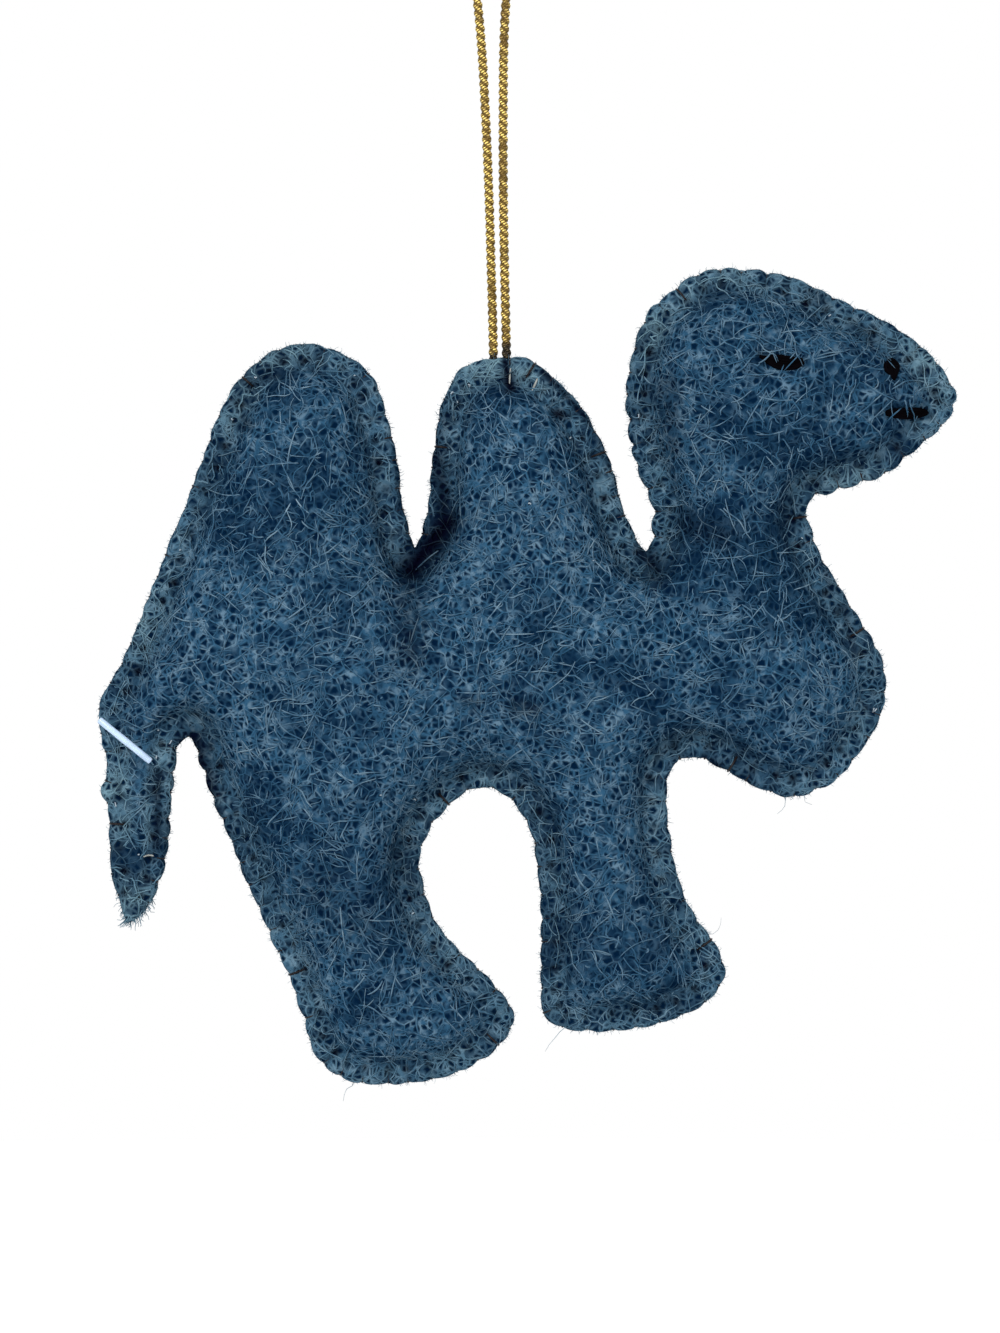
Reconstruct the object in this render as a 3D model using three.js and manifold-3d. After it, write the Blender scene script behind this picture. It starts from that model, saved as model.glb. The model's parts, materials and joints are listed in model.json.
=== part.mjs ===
// A hand-felted camel ornament. Two cut felt panels are whip-stitched together round their edge over
// wads of wool, dark stitches draw the face, and a gold cord sewn in at the front hump hangs it.
// Millimetres, +Z up, nose towards +X, front panel towards -Y. The origin is the underside of the top
// of the hanging loop, where it bears on its hook or twig.
import * as THREE from "three";
import { mergeGeometries, mergeVertices } from "three/addons/utils/BufferGeometryUtils.js";
import Module from "manifold-3d";

const wasm = await Module();
wasm.setup();

// Driving dimensions of the felt figure
const figureLength = 114; // tail to nose
const figureHeight = 108.7; // rear foot to crown of the head
const feltThickness = 2.4;
const lipThickness = 1.8; // the felt where the seam squeezes it
const lipWidth = 3.5; // flat lip, from the cut edge to the crease
const swellHeight = 8; // how far the wool lifts each panel at the thickest place
const swellSpread = 7; // how far in from the crease the swell needs to build up
const clearance = 0.3; // between pieces that touch on the real ornament

// The seam
const threadDiameter = 0.6;
const stitchPitch = 6;
const needleInset = 2.3; // from the cut edge to the needle hole
const needleClearance = 0.24; // between the thread and its hole
const minimumBridge = 0.86; // least felt between two needle holes
const scallopDepth = 0.45; // how far each stitch draws the edge in
const notchMargin = 4.8; // no stitch nearer than this to a narrow notch
const bendMargin = 2.2; // nor than this to the end of a run in an open bend
const tailTipMargin = 6.5;
const cordMargin = 2.9; // from the cord to the stitches beside it

// The face
const faceThreadDiameter = 1.1;
const faceStitchDepth = 1.5; // how far its ends reach into the wool

// The hanging cord, with the route of its middle line
const cordDiameter = 1.3;
const cordTailLength = 7.5; // sewn in, from the edge to the knot
const knotDiameter = 3.4;
const knotLean = THREE.MathUtils.degToRad(29); // of its two turns, to either side
const cordRoute = [
  [0.53, 0, -60],
  [0.42, 0, -55],
  [0.22, 0, -48],
  [0.02, 0, -41],
  [-0.25, 0, -34],
  [-0.58, 0, -27],
  [-0.98, 0, -20],
  [-1.5, 0, -14],
  [-2.2, 0, -9],
  [-2.9, 0, -5.4],
  [-3.2, 0, -2.5],
  [-2.75, 0, -0.85],
  [-1.6, 0, 0.25],
  [0, 0, 0.65],
  [1.6, 0, 0.25],
  [2.75, 0, -0.85],
  [3.2, 0, -2.5],
  [3.05, 0, -5.4],
  [2.6, 0, -9],
  [2.15, 0, -14],
  [1.9, 0, -20],
  [1.84, 0, -27],
  [1.83, 0, -34],
  [1.88, 0, -41],
  [2, 0, -48],
  [2.16, 0, -55],
  [2.27, 0, -60],
];

// The plastic tag fastener left in the root of the tail
const tagBarLength = 8.8;
const tagBarDiameter = 0.9;
const tagFilamentDiameter = 0.5;
const tagStandOff = 3; // from the back of the felt to the paddle
const tagPaddleLength = 6;
const tagPaddleWidth = 2.6;
const tagPaddleThickness = 0.9;
const tagBarAngle = THREE.MathUtils.degToRad(-39);

// How finely the surfaces are divided
const edgeStep = 2.4; // along the edge where there is no stitch
const creaseStep = 4.4;
const shoulderDepth = 2; // from the crease to the next line of points, where the swell rounds over
const meadowStep = 5.4; // between the points inside the crease
const gridStep = 1.2; // of the grid that the swell is worked out on
const wadEdge = 0.75; // the wool ends where the panels lie closer than this to the seam plane
const pathSamples = 24; // points of the outline's curve for each point given
const stitchTries = 24; // places tried along a stitch's pitch, where the holes would run together
const ringTries = 12; // places tried for each point of a ring, so that it fans out round a notch
const fillRounds = 16; // at most, of adding points until the triangles follow the cut edge
const frameReachShare = 50; // of the figure: how large the first triangle is
const nearlyAlong = 0.1; // a heading this near to the Y axis takes its side from the X axis

// The outline as shares of the figure's length and height, clockwise from the tip of the tail, in
// stretches that each begin where a run of stitches begins.
const backShares = [
  [0.037, 0.206], [0.018, 0.236], [0.012, 0.29], [0.008, 0.36], [0.005, 0.42], [0.003, 0.465],
  [0.03, 0.519], [0.056, 0.588], [0.094, 0.69], [0.126, 0.782], [0.147, 0.838], [0.166, 0.869],
  [0.2, 0.898], [0.242, 0.908], [0.288, 0.896], [0.32, 0.866], [0.337, 0.82], [0.349, 0.765],
  [0.356, 0.71],
];
const humpRearSideShares = [
  [0.37, 0.66], [0.383, 0.7], [0.389, 0.75], [0.393, 0.79], [0.404, 0.833], [0.427, 0.869],
];
const humpNeckSideShares = [
  [0.469, 0.886], [0.517, 0.875], [0.553, 0.843], [0.582, 0.8], [0.602, 0.745], [0.618, 0.69],
];
const headShares = [
  [0.639, 0.657], [0.648, 0.7], [0.636, 0.738], [0.622, 0.785], [0.617, 0.84], [0.624, 0.9],
  [0.645, 0.95], [0.685, 0.985], [0.743, 1], [0.808, 0.989], [0.87, 0.957], [0.925, 0.93],
  [0.972, 0.89], [0.9995, 0.842], [0.988, 0.808], [0.96, 0.781], [0.922, 0.749], [0.87, 0.729],
];
const chestShares = [
  [0.829, 0.71], [0.84, 0.664], [0.865, 0.622], [0.893, 0.57], [0.914, 0.526], [0.919, 0.48],
  [0.908, 0.44], [0.888, 0.408], [0.857, 0.371], [0.81, 0.353], [0.765, 0.366], [0.728, 0.389],
  [0.692, 0.401],
];
const frontLegShares = [
  [0.669, 0.388], [0.664, 0.349], [0.667, 0.3], [0.677, 0.251], [0.702, 0.196], [0.727, 0.16],
  [0.731, 0.13], [0.71, 0.103], [0.678, 0.083], [0.632, 0.072], [0.586, 0.067], [0.546, 0.074],
  [0.522, 0.094], [0.516, 0.13], [0.517, 0.19], [0.512, 0.263], [0.501, 0.32], [0.481, 0.35],
];
const rearLegShares = [
  [0.446, 0.363], [0.416, 0.347], [0.39, 0.315], [0.375, 0.273], [0.381, 0.239], [0.4, 0.197],
  [0.434, 0.159], [0.469, 0.12], [0.488, 0.086], [0.479, 0.053], [0.446, 0.024], [0.4, 0.008],
  [0.341, 0], [0.29, 0.006], [0.257, 0.032], [0.239, 0.08], [0.224, 0.129], [0.202, 0.184],
  [0.174, 0.251], [0.145, 0.324], [0.12, 0.39],
];
const tailShares = [
  [0.103, 0.424], [0.091, 0.395], [0.087, 0.349], [0.082, 0.288], [0.073, 0.251], [0.056, 0.219],
];
const cordExitShare = humpNeckSideShares[0];

// How much of the local width the lip and the needle's inset may take, where the felt is narrow
const lipWidthShare = 0.34;
const needleInsetShare = 0.24;
const scallopShare = 0.05;
const wrapShare = 0.6; // of the thread's reach over the lip, where it turns in round the edge

// How near the points of the surface may lie to each other, and to the middle of a narrow part
const ringGapShare = 0.8;
const ringDepthShare = 0.97;
const ringReachShare = 0.48;
const meadowGapShare = 0.55;
const meadowDepthShare = 1.4;

// Corners of the wads of wool, as shares of the figure
const rumpTopShare = [-0.01, 0.6];
const neckFootShare = [0.642, 0.655];
const armpitShare = [0.672, 0.39];
const crotchShare = [0.103, 0.43];
const rumpFootShare = [-0.01, 0.47];
const saddleShare = [0.37, 0.632];
const archTopShare = [0.446, 0.406];
const archFootShare = [0.505, -0.01];
const throatShare = [1.01, 0.71];
const wadShares = {
  torso: [rumpTopShare, neckFootShare, armpitShare, crotchShare, rumpFootShare],
  rear_hump: [[-0.01, 1.01], [0.37, 1.01], saddleShare, rumpTopShare],
  front_hump: [[0.37, 1.01], [0.6, 1.01], neckFootShare, saddleShare],
  head: [[0.6, 1.01], [1.01, 1.01], throatShare, neckFootShare],
  chest: [neckFootShare, throatShare, [1.01, 0.33], [0.7, 0.33], armpitShare],
  front_leg: [archTopShare, armpitShare, [0.75, 0.3], [0.75, -0.01], archFootShare],
  rear_leg: [crotchShare, archTopShare, archFootShare, [0.2, -0.01]],
};

// The face, as shares of the figure: each stitch's points from one needle hole to the other
const faceShares = {
  eye: [[0.77, 0.881], [0.785, 0.8755], [0.801, 0.8745], [0.818, 0.879]],
  nostril: [[0.9235, 0.886], [0.9255, 0.874], [0.9255, 0.861]],
  mouth: [[0.915, 0.8255], [0.936, 0.8275], [0.956, 0.826]],
};
const tagHoleShare = [0.0345, 0.422];

// Colours and finishes
const finishes = {
  felt: { color: 0x35577c, roughness: 0.95, metalness: 0 },
  wool: { color: 0xdcd8cc, roughness: 1, metalness: 0 },
  seamThread: { color: 0x6b5a52, roughness: 0.5, metalness: 0 },
  faceThread: { color: 0x17130f, roughness: 0.7, metalness: 0 },
  goldCord: { color: 0xb08a2c, roughness: 0.35, metalness: 0.8 },
  tagPlastic: { color: 0xcfdcef, roughness: 0.3, metalness: 0 },
};

const ornament = new THREE.Group();

function addPiece(name, geometry, finish) {
  const mesh = new THREE.Mesh(geometry, new THREE.MeshStandardMaterial(finishes[finish]));
  mesh.name = name;
  ornament.add(mesh);
}

// Solids

function toSolid(geometry) {
  const bare = geometry.clone();
  bare.deleteAttribute("normal");
  bare.deleteAttribute("uv");
  const merged = mergeVertices(bare);
  return new wasm.Manifold(new wasm.Mesh({
    numProp: 3,
    vertProperties: new Float32Array(merged.attributes.position.array),
    triVerts: new Uint32Array(merged.index.array),
  }));
}

function toGeometry(solid) {
  const mesh = solid.getMesh();
  const geometry = new THREE.BufferGeometry();
  geometry.setAttribute("position", new THREE.BufferAttribute(mesh.vertProperties, 3));
  geometry.setIndex(new THREE.BufferAttribute(mesh.triVerts, 1));
  return geometry;
}

function indexed(positions, index) {
  const geometry = new THREE.BufferGeometry();
  geometry.setAttribute("position", new THREE.Float32BufferAttribute(positions, 3));
  geometry.setIndex(index);
  return geometry;
}

// A closed tube through a line of points. Each ring lies in its corner's mitre plane, and the section
// turns with the path without twisting.
function tubeThrough(points, radius, sides) {
  const last = points.length - 1;
  const headings = points.slice(1).map((p, i) => p.clone().sub(points[i]).normalize());
  const side = new THREE.Vector3(0, 1, 0).cross(headings[0]);
  if (side.length() < nearlyAlong) side.set(1, 0, 0).cross(headings[0]);
  side.normalize();
  const positions = [];
  for (let i = 0; i <= last; i++) {
    const before = headings[Math.max(i - 1, 0)];
    const after = headings[Math.min(i, last - 1)];
    const mitre = before.clone().add(after).normalize();
    const up = before.clone().cross(side);
    for (let j = 0; j < sides; j++) {
      const angle = (2 * Math.PI * j) / sides;
      const spoke = side.clone().multiplyScalar(Math.cos(angle) * radius);
      spoke.addScaledVector(up, Math.sin(angle) * radius);
      spoke.addScaledVector(before, -spoke.dot(mitre) / before.dot(mitre));
      positions.push(...spoke.add(points[i]).toArray());
    }
    side.applyQuaternion(new THREE.Quaternion().setFromUnitVectors(before, after));
  }
  const index = [];
  for (let i = 0; i < last; i++) {
    for (let j = 0; j < sides; j++) {
      const here = i * sides + j;
      const next = i * sides + ((j + 1) % sides);
      index.push(here, next, next + sides, here, next + sides, here + sides);
    }
  }
  for (let j = 1; j < sides - 1; j++) {
    index.push(0, j + 1, j, last * sides, last * sides + j, last * sides + j + 1);
  }
  return indexed(positions, index);
}

// The outline

const runs = [
  { name: "back", shares: backShares, start: tailTipMargin, end: notchMargin },
  { name: "hump_rear_side", shares: humpRearSideShares, start: notchMargin, end: cordMargin },
  { name: "hump_neck_side", shares: humpNeckSideShares, start: cordMargin, end: notchMargin },
  { name: "head", shares: headShares, start: notchMargin, end: bendMargin },
  { name: "chest", shares: chestShares, start: bendMargin, end: bendMargin },
  { name: "front_leg", shares: frontLegShares, start: bendMargin, end: bendMargin },
  { name: "rear_leg", shares: rearLegShares, start: bendMargin, end: notchMargin },
  { name: "tail", shares: tailShares, start: notchMargin, end: tailTipMargin },
];

// The cord's two strands bend where it ends, just above the edge of the felt: the ornament swings there
const swingRise = cordDiameter / 2 + clearance;
const strandEnds = [cordRoute[0], cordRoute[cordRoute.length - 1]].map((p) => new THREE.Vector3(...p));
const swingPoint = strandEnds[0].clone().add(strandEnds[1]).multiplyScalar(0.5);
const figureLeft = swingPoint.x - cordExitShare[0] * figureLength;
const figureFoot = swingPoint.z - swingRise - cordExitShare[1] * figureHeight;

// A place on the figure, as a flat point whose y is the height
function place([across, up]) {
  return new THREE.Vector2(figureLeft + across * figureLength, figureFoot + up * figureHeight);
}

const outlinePoints = runs.flatMap((run) => run.shares.map(place));
const outlineCurve = new THREE.CatmullRomCurve3(
  outlinePoints.map((p) => new THREE.Vector3(p.x, 0, p.y)), true, "centripetal",
);
outlineCurve.arcLengthDivisions = outlinePoints.length * pathSamples;
const edgeLengths = outlineCurve.getLengths();
const edgeLength = edgeLengths[edgeLengths.length - 1];
const plainOutline = outlineCurve.getSpacedPoints(outlinePoints.length * 3).slice(1)
  .map((p) => new THREE.Vector2(p.x, p.z));

function onEdge(station) {
  const along = THREE.MathUtils.euclideanModulo(station / edgeLength, 1);
  const at = outlineCurve.getPointAt(along);
  const heading = outlineCurve.getTangentAt(along);
  return {
    at: new THREE.Vector2(at.x, at.z),
    out: new THREE.Vector2(-heading.z, heading.x).normalize(),
  };
}

// How wide the felt is, measured straight in from a place on the edge
function widthInFrom({ at, out }) {
  let width = Math.max(figureLength, figureHeight);
  plainOutline.forEach((a, i) => {
    const b = plainOutline[(i + 1) % plainOutline.length];
    const wall = b.clone().sub(a);
    const turn = -out.cross(wall);
    if (Math.abs(turn) < Number.EPSILON) return;
    const toWall = a.clone().sub(at);
    const far = toWall.cross(wall) / turn;
    const share = toWall.cross(out) / turn;
    if (far > edgeStep / 2 && share >= 0 && share <= 1) width = Math.min(width, far);
  });
  return width;
}

function isInside(point, polygon) {
  let inside = false;
  polygon.forEach((a, i) => {
    const b = polygon[(i + 1) % polygon.length];
    const crosses = a.y > point.y !== b.y > point.y;
    if (crosses && point.x < a.x + ((point.y - a.y) * (b.x - a.x)) / (b.y - a.y)) inside = !inside;
  });
  return inside;
}

// The stitches of a run: each keeps its pitch along the edge, and in a tight bend also the felt
// between two needle holes
const holeSize = threadDiameter + 2 * needleClearance;
const holeSpacing = holeSize + minimumBridge;

function stitchAt(station) {
  const spot = onEdge(station);
  const width = widthInFrom(spot);
  const inset = Math.min(needleInset, width * needleInsetShare);
  const pull = Math.min(scallopDepth, width * scallopShare);
  return { ...spot, station, pull, hole: spot.at.clone().addScaledVector(spot.out, -inset) };
}

function stitchesOf(start, end) {
  const stitches = [stitchAt(start)];
  const walk = stitchPitch / stitchTries;
  const steps = Math.floor((end - start) / walk);
  let step = stitchTries;
  while (step <= steps) {
    const next = stitchAt(start + step * walk);
    const clear = next.hole.distanceTo(stitches[stitches.length - 1].hole) >= holeSpacing;
    if (clear) stitches.push(next);
    step += clear ? stitchTries : 1;
  }
  return stitches;
}

let firstPoint = 0;
for (const run of runs) {
  run.from = edgeLengths[firstPoint * pathSamples];
  firstPoint += run.shares.length;
  run.to = edgeLengths[firstPoint * pathSamples];
  run.stitches = stitchesOf(run.from + run.start, run.to - run.end);
}
const allStitches = runs.flatMap((run) => run.stitches);

// The cut edge: drawn in at each stitch and full between them
function cutEdge() {
  const edge = [];
  const addPlain = (from, to, step) => {
    const count = Math.max(1, Math.round((to - from) / step));
    for (let i = 1; i < count; i++) edge.push(onEdge(from + ((to - from) * i) / count).at);
  };
  for (const run of runs) {
    const { stitches } = run;
    edge.push(onEdge(run.from).at);
    addPlain(run.from, stitches[0].station, edgeStep);
    stitches.forEach((stitch, i) => {
      edge.push(stitch.at.clone().addScaledVector(stitch.out, -stitch.pull));
      if (i + 1 < stitches.length) addPlain(stitch.station, stitches[i + 1].station, stitchPitch / 2);
    });
    addPlain(stitches[stitches.length - 1].station, run.to, edgeStep);
  }
  return edge;
}

// The lip's width at places all along the edge
const lipMarks = [];
for (let i = 0; i < outlinePoints.length * 2; i++) {
  const spot = onEdge((edgeLength * i) / (outlinePoints.length * 2));
  lipMarks.push({ ...spot, lip: Math.min(lipWidth, widthInFrom(spot) * lipWidthShare) });
}

function distanceToEdge(point) {
  let nearest = Infinity;
  const toPoint = new THREE.Vector2();
  const along = new THREE.Vector2();
  plainOutline.forEach((a, i) => {
    const b = plainOutline[(i + 1) % plainOutline.length];
    along.subVectors(b, a);
    toPoint.subVectors(point, a);
    const share = THREE.MathUtils.clamp(toPoint.dot(along) / along.lengthSq(), 0, 1);
    nearest = Math.min(nearest, toPoint.addScaledVector(along, -share).length());
  });
  return nearest;
}

function lipAt(point) {
  let best = lipMarks[0];
  for (const mark of lipMarks) {
    if (mark.at.distanceToSquared(point) < best.at.distanceToSquared(point)) best = mark;
  }
  return best.lip;
}

// How deep a point lies inside the crease; negative on the lip
function depthInside(point) {
  return isInside(point, plainOutline) ? distanceToEdge(point) - lipAt(point) : -lipWidth;
}

// The swell: a sheet held down along the crease and lifted evenly, which levels off where it is wide
const gridColumns = Math.ceil(figureLength / gridStep) + 1;
const gridRows = Math.ceil(figureHeight / gridStep) + 1;
const lift = new Float64Array(gridColumns * gridRows);

function liftSheet() {
  const sweeps = 220;
  const haste = 1.6;
  const free = [];
  for (let row = 1; row < gridRows - 1; row++) {
    for (let column = 1; column < gridColumns - 1; column++) {
      const spot = new THREE.Vector2(figureLeft + column * gridStep, figureFoot + row * gridStep);
      if (depthInside(spot) > 0) free.push(row * gridColumns + column);
    }
  }
  const stiffness = 4 + (gridStep / swellSpread) ** 2;
  for (let sweep = 0; sweep < sweeps; sweep++) {
    for (const i of free) {
      const around = lift[i - 1] + lift[i + 1] + lift[i - gridColumns] + lift[i + gridColumns];
      lift[i] += haste * ((around + gridStep ** 2) / stiffness - lift[i]);
    }
  }
}
liftSheet();
const fullLift = lift.reduce((a, b) => Math.max(a, b), 0);

function swellAt(point) {
  const column = THREE.MathUtils.clamp((point.x - figureLeft) / gridStep, 0, gridColumns - 1);
  const row = THREE.MathUtils.clamp((point.y - figureFoot) / gridStep, 0, gridRows - 1);
  const left = Math.min(Math.floor(column), gridColumns - 2);
  const below = Math.min(Math.floor(row), gridRows - 2);
  const corner = below * gridColumns + left;
  const across = column - left;
  const up = row - below;
  const low = lift[corner] * (1 - across) + lift[corner + 1] * across;
  const high = lift[corner + gridColumns] * (1 - across) + lift[corner + gridColumns + 1] * across;
  return swellHeight * Math.sqrt((low * (1 - up) + high * up) / fullLift);
}

// The inner and outer faces of a panel, as distances from the seam plane
const seamHalfGap = clearance / 2;
function innerFace(swell) {
  return seamHalfGap + swell;
}
function outerFace(swell) {
  const full = Math.min(1, swell / feltThickness);
  return seamHalfGap + swell + lipThickness + (feltThickness - lipThickness) * full;
}

// Triangles over the figure

function circleRound(points, corners) {
  const [a, b, c] = corners.map((i) => points[i]);
  const ab = b.clone().sub(a);
  const ac = c.clone().sub(a);
  const twice = 2 * ab.cross(ac);
  const centre = new THREE.Vector2(
    (ac.y * ab.lengthSq() - ab.y * ac.lengthSq()) / twice,
    (ab.x * ac.lengthSq() - ac.x * ab.lengthSq()) / twice,
  );
  const turned = twice > 0 ? corners : [corners[0], corners[2], corners[1]];
  return { corners: turned, centre: centre.clone().add(a), reach: centre.lengthSq() };
}

// Delaunay triangles of a set of points: each new point breaks up the triangles whose circle it is in.
// They start as one that is far larger than the figure.
function triangulate(points) {
  const middle = new THREE.Box2().setFromPoints(points).getCenter(new THREE.Vector2());
  const far = frameReachShare * (figureLength + figureHeight);
  const frame = [[-1, -1], [1, -1], [0, 1]].map(
    ([x, y]) => new THREE.Vector2(middle.x + x * far, middle.y + y * far),
  );
  const all = [...points, ...frame];
  const outer = points.length;
  let triangles = [circleRound(all, frame.map((_, i) => outer + i))];
  points.forEach((point, i) => {
    const rim = new Map();
    triangles = triangles.filter(({ corners, centre, reach }) => {
      if (centre.distanceToSquared(point) >= reach) return true;
      corners.forEach((a, k) => {
        const b = corners[(k + 1) % 3];
        if (!rim.delete(`${b} ${a}`)) rim.set(`${a} ${b}`, [a, b]);
      });
      return false;
    });
    for (const [a, b] of rim.values()) triangles.push(circleRound(all, [a, b, i]));
  });
  return triangles.map((t) => t.corners).filter((corners) => corners.every((i) => i < outer));
}

// Where a line from the cut edge to a point inside crosses the crease
function creaseOn(from, to) {
  const tries = 16;
  for (let i = 1; i < tries; i++) {
    const point = from.clone().lerp(to, i / tries);
    if (depthInside(point) >= 0) return point;
  }
  return from.clone().lerp(to, 0.5);
}

// Triangles that fill the cut edge. They are made anew with one more point for each stretch of the
// edge that no triangle has, and for each side that runs from the edge right over the crease, until
// nothing is left to add.
function fillEdge(edge, crease, raised) {
  for (let round = 0; round < fillRounds; round++) {
    const points = [...edge, ...crease, ...raised];
    const triangles = triangulate(points);
    const sides = new Set();
    for (const t of triangles) t.forEach((a, k) => sides.add(`${a} ${t[(k + 1) % 3]}`));
    const missing = edge.map((_, i) => i).filter((i) => {
      const next = (i + 1) % edge.length;
      return !sides.has(`${i} ${next}`) && !sides.has(`${next} ${i}`);
    });
    const kept = triangles.filter((t) => {
      const middle = new THREE.Vector2();
      t.forEach((i) => middle.add(points[i]));
      return isInside(middle.divideScalar(3), edge);
    });
    const crossings = new Map();
    for (const t of kept) {
      t.forEach((a, k) => {
        const [low, high] = [a, t[(k + 1) % 3]].sort((x, y) => x - y);
        const over = low < edge.length && high >= edge.length + crease.length;
        if (over) crossings.set(`${low} ${high}`, creaseOn(points[low], points[high]));
      });
    }
    for (const i of missing.reverse()) {
      edge.splice(i + 1, 0, edge[i].clone().lerp(edge[(i + 1) % edge.length], 0.5));
    }
    if (missing.length > 0) continue;
    const creased = crease.length;
    for (const point of crossings.values()) {
      if (crease.every((p) => p.distanceTo(point) > gridStep)) crease.push(point);
    }
    if (crease.length === creased) return { points, triangles: kept };
  }
  throw new Error("the outline is too narrow somewhere to be filled");
}

// A line of points that follows the edge, further in than the crease by a given depth
function ringPoints(depth, step) {
  const kept = [];
  const count = Math.round((edgeLength / step) * ringTries);
  for (let i = 0; i < count; i++) {
    const spot = onEdge((edgeLength * i) / count);
    const width = widthInFrom(spot);
    const wanted = Math.min(lipWidth, width * lipWidthShare) + depth;
    const point = spot.at.clone().addScaledVector(spot.out, -wanted);
    let inset = wanted;
    while (distanceToEdge(point) < wanted * ringDepthShare && inset < width / 2) {
      inset += gridStep / 3;
      point.addScaledVector(spot.out, -gridStep / 3);
    }
    const apart = kept.every((p) => p.distanceTo(point) > step * ringGapShare);
    if (apart && inset < width * ringReachShare) kept.push(point);
  }
  return kept;
}

function meadowPoints(shoulder) {
  const kept = [];
  const rowStep = (meadowStep * Math.sqrt(3)) / 2;
  for (let row = 0; row * rowStep < figureHeight; row++) {
    const shift = row % 2 === 0 ? 0 : meadowStep / 2;
    for (let column = 0; column * meadowStep < figureLength; column++) {
      const x = figureLeft + column * meadowStep + shift;
      const point = new THREE.Vector2(x, figureFoot + row * rowStep);
      const clear = shoulder.every((p) => p.distanceTo(point) > meadowStep * meadowGapShare);
      if (clear && depthInside(point) > shoulderDepth * meadowDepthShare) kept.push(point);
    }
  }
  return kept;
}

const edge = cutEdge();
const crease = ringPoints(0, creaseStep);
const shoulder = ringPoints(shoulderDepth, creaseStep);
const net = fillEdge(edge, crease, [...shoulder, ...meadowPoints(shoulder)]);
const flatCount = edge.length + crease.length;
const swells = net.points.map((p, i) => (i < flatCount ? 0 : swellAt(p)));

// A slab over the net's triangles, between a front and a back face given as a y for each point
function slab(triangles, front, back) {
  const count = net.points.length;
  const positions = [front, back].flatMap((face) => net.points.flatMap((p, i) => [p.x, face[i], p.y]));
  const index = [];
  const rim = new Map();
  for (const t of triangles) {
    index.push(t[0], t[1], t[2], t[0] + count, t[2] + count, t[1] + count);
    t.forEach((a, k) => {
      const b = t[(k + 1) % 3];
      if (!rim.delete(`${b} ${a}`)) rim.set(`${a} ${b}`, [a, b]);
    });
  }
  for (const [a, b] of rim.values()) index.push(a, a + count, b + count, a, b + count, b);
  return toSolid(indexed(positions, index));
}

// Needle holes, square to the edge, through both panels
const throughLip = 4 * (lipThickness + feltThickness);
const throughBoth = 2 * (swellHeight + feltThickness);
const needleHoles = toSolid(mergeGeometries(allStitches.map((stitch) => {
  const hole = new THREE.BoxGeometry(holeSize, throughLip, holeSize);
  hole.rotateY(-Math.atan2(stitch.out.y, stitch.out.x));
  return hole.translate(stitch.hole.x, 0, stitch.hole.y);
})));

// The cord's sewn-in end: two strands that meet in a knot inside the hump
const rimHeight = swingPoint.z - swingRise;
const knotMiddle = new THREE.Vector3(swingPoint.x, 0, rimHeight - cordTailLength - knotDiameter / 2);

function cordEnd(grow) {
  const radius = cordDiameter / 2 + grow;
  const strands = strandEnds.map((end) => toSolid(tubeThrough([
    new THREE.Vector3(end.x, 0, rimHeight + grow * 2),
    new THREE.Vector3(end.x, 0, rimHeight - cordTailLength / 2),
    new THREE.Vector3((end.x + knotMiddle.x) / 2, 0, knotMiddle.z),
  ], radius, 8)));
  const bead = new THREE.SphereGeometry(knotDiameter / 2 + grow, 10, 8);
  const turns = [-1, 1].map((lean) => {
    const turn = new THREE.TorusGeometry(knotDiameter / 2 - cordDiameter / 4, radius, 6, 12);
    turn.rotateX(Math.PI / 2 + lean * knotLean);
    return toSolid(turn.translate(knotMiddle.x, 0, knotMiddle.z));
  });
  const knot = toSolid(bead.translate(knotMiddle.x, 0, knotMiddle.z));
  return turns.reduce((a, b) => a.add(b), knot).add(strands[0]).add(strands[1]);
}

// A face stitch: in from the wool, along the face of the felt in its own groove, and back in
function faceStitch(shares, side, grow) {
  const spots = shares.map(place);
  const swellsHere = spots.map(swellAt);
  const run = spots.map((p, i) => new THREE.Vector3(p.x, side * outerFace(swellsHere[i]), p.y));
  const ends = [0, spots.length - 1].map((i) => {
    const deep = Math.max(innerFace(swellsHere[i]) - faceStitchDepth, clearance * 2);
    return new THREE.Vector3(spots[i].x, side * (deep - grow), spots[i].y);
  });
  return tubeThrough([ends[0], ...run, ends[1]], faceThreadDiameter / 2 + grow, 6);
}

function facePockets(side) {
  return Object.values(faceShares).map((shares) => toSolid(faceStitch(shares, side, clearance)));
}

// The tag fastener: a bar in front, a filament through the felt and a paddle behind
const tagHole = place(tagHoleShare);
const threadReach = seamHalfGap + lipThickness + clearance + threadDiameter;
const tagSeat = net.points.reduce((seat, p, i) => {
  const near = p.distanceTo(tagHole) < tagBarLength / 2 + meadowStep / 2;
  return near ? Math.max(seat, outerFace(swells[i])) : seat;
}, threadReach) + clearance;

function alongY(diameter, from, to, sides) {
  const rod = new THREE.CylinderGeometry(diameter / 2, diameter / 2, to - from, sides);
  return toSolid(rod.translate(tagHole.x, (from + to) / 2, tagHole.y));
}

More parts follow.
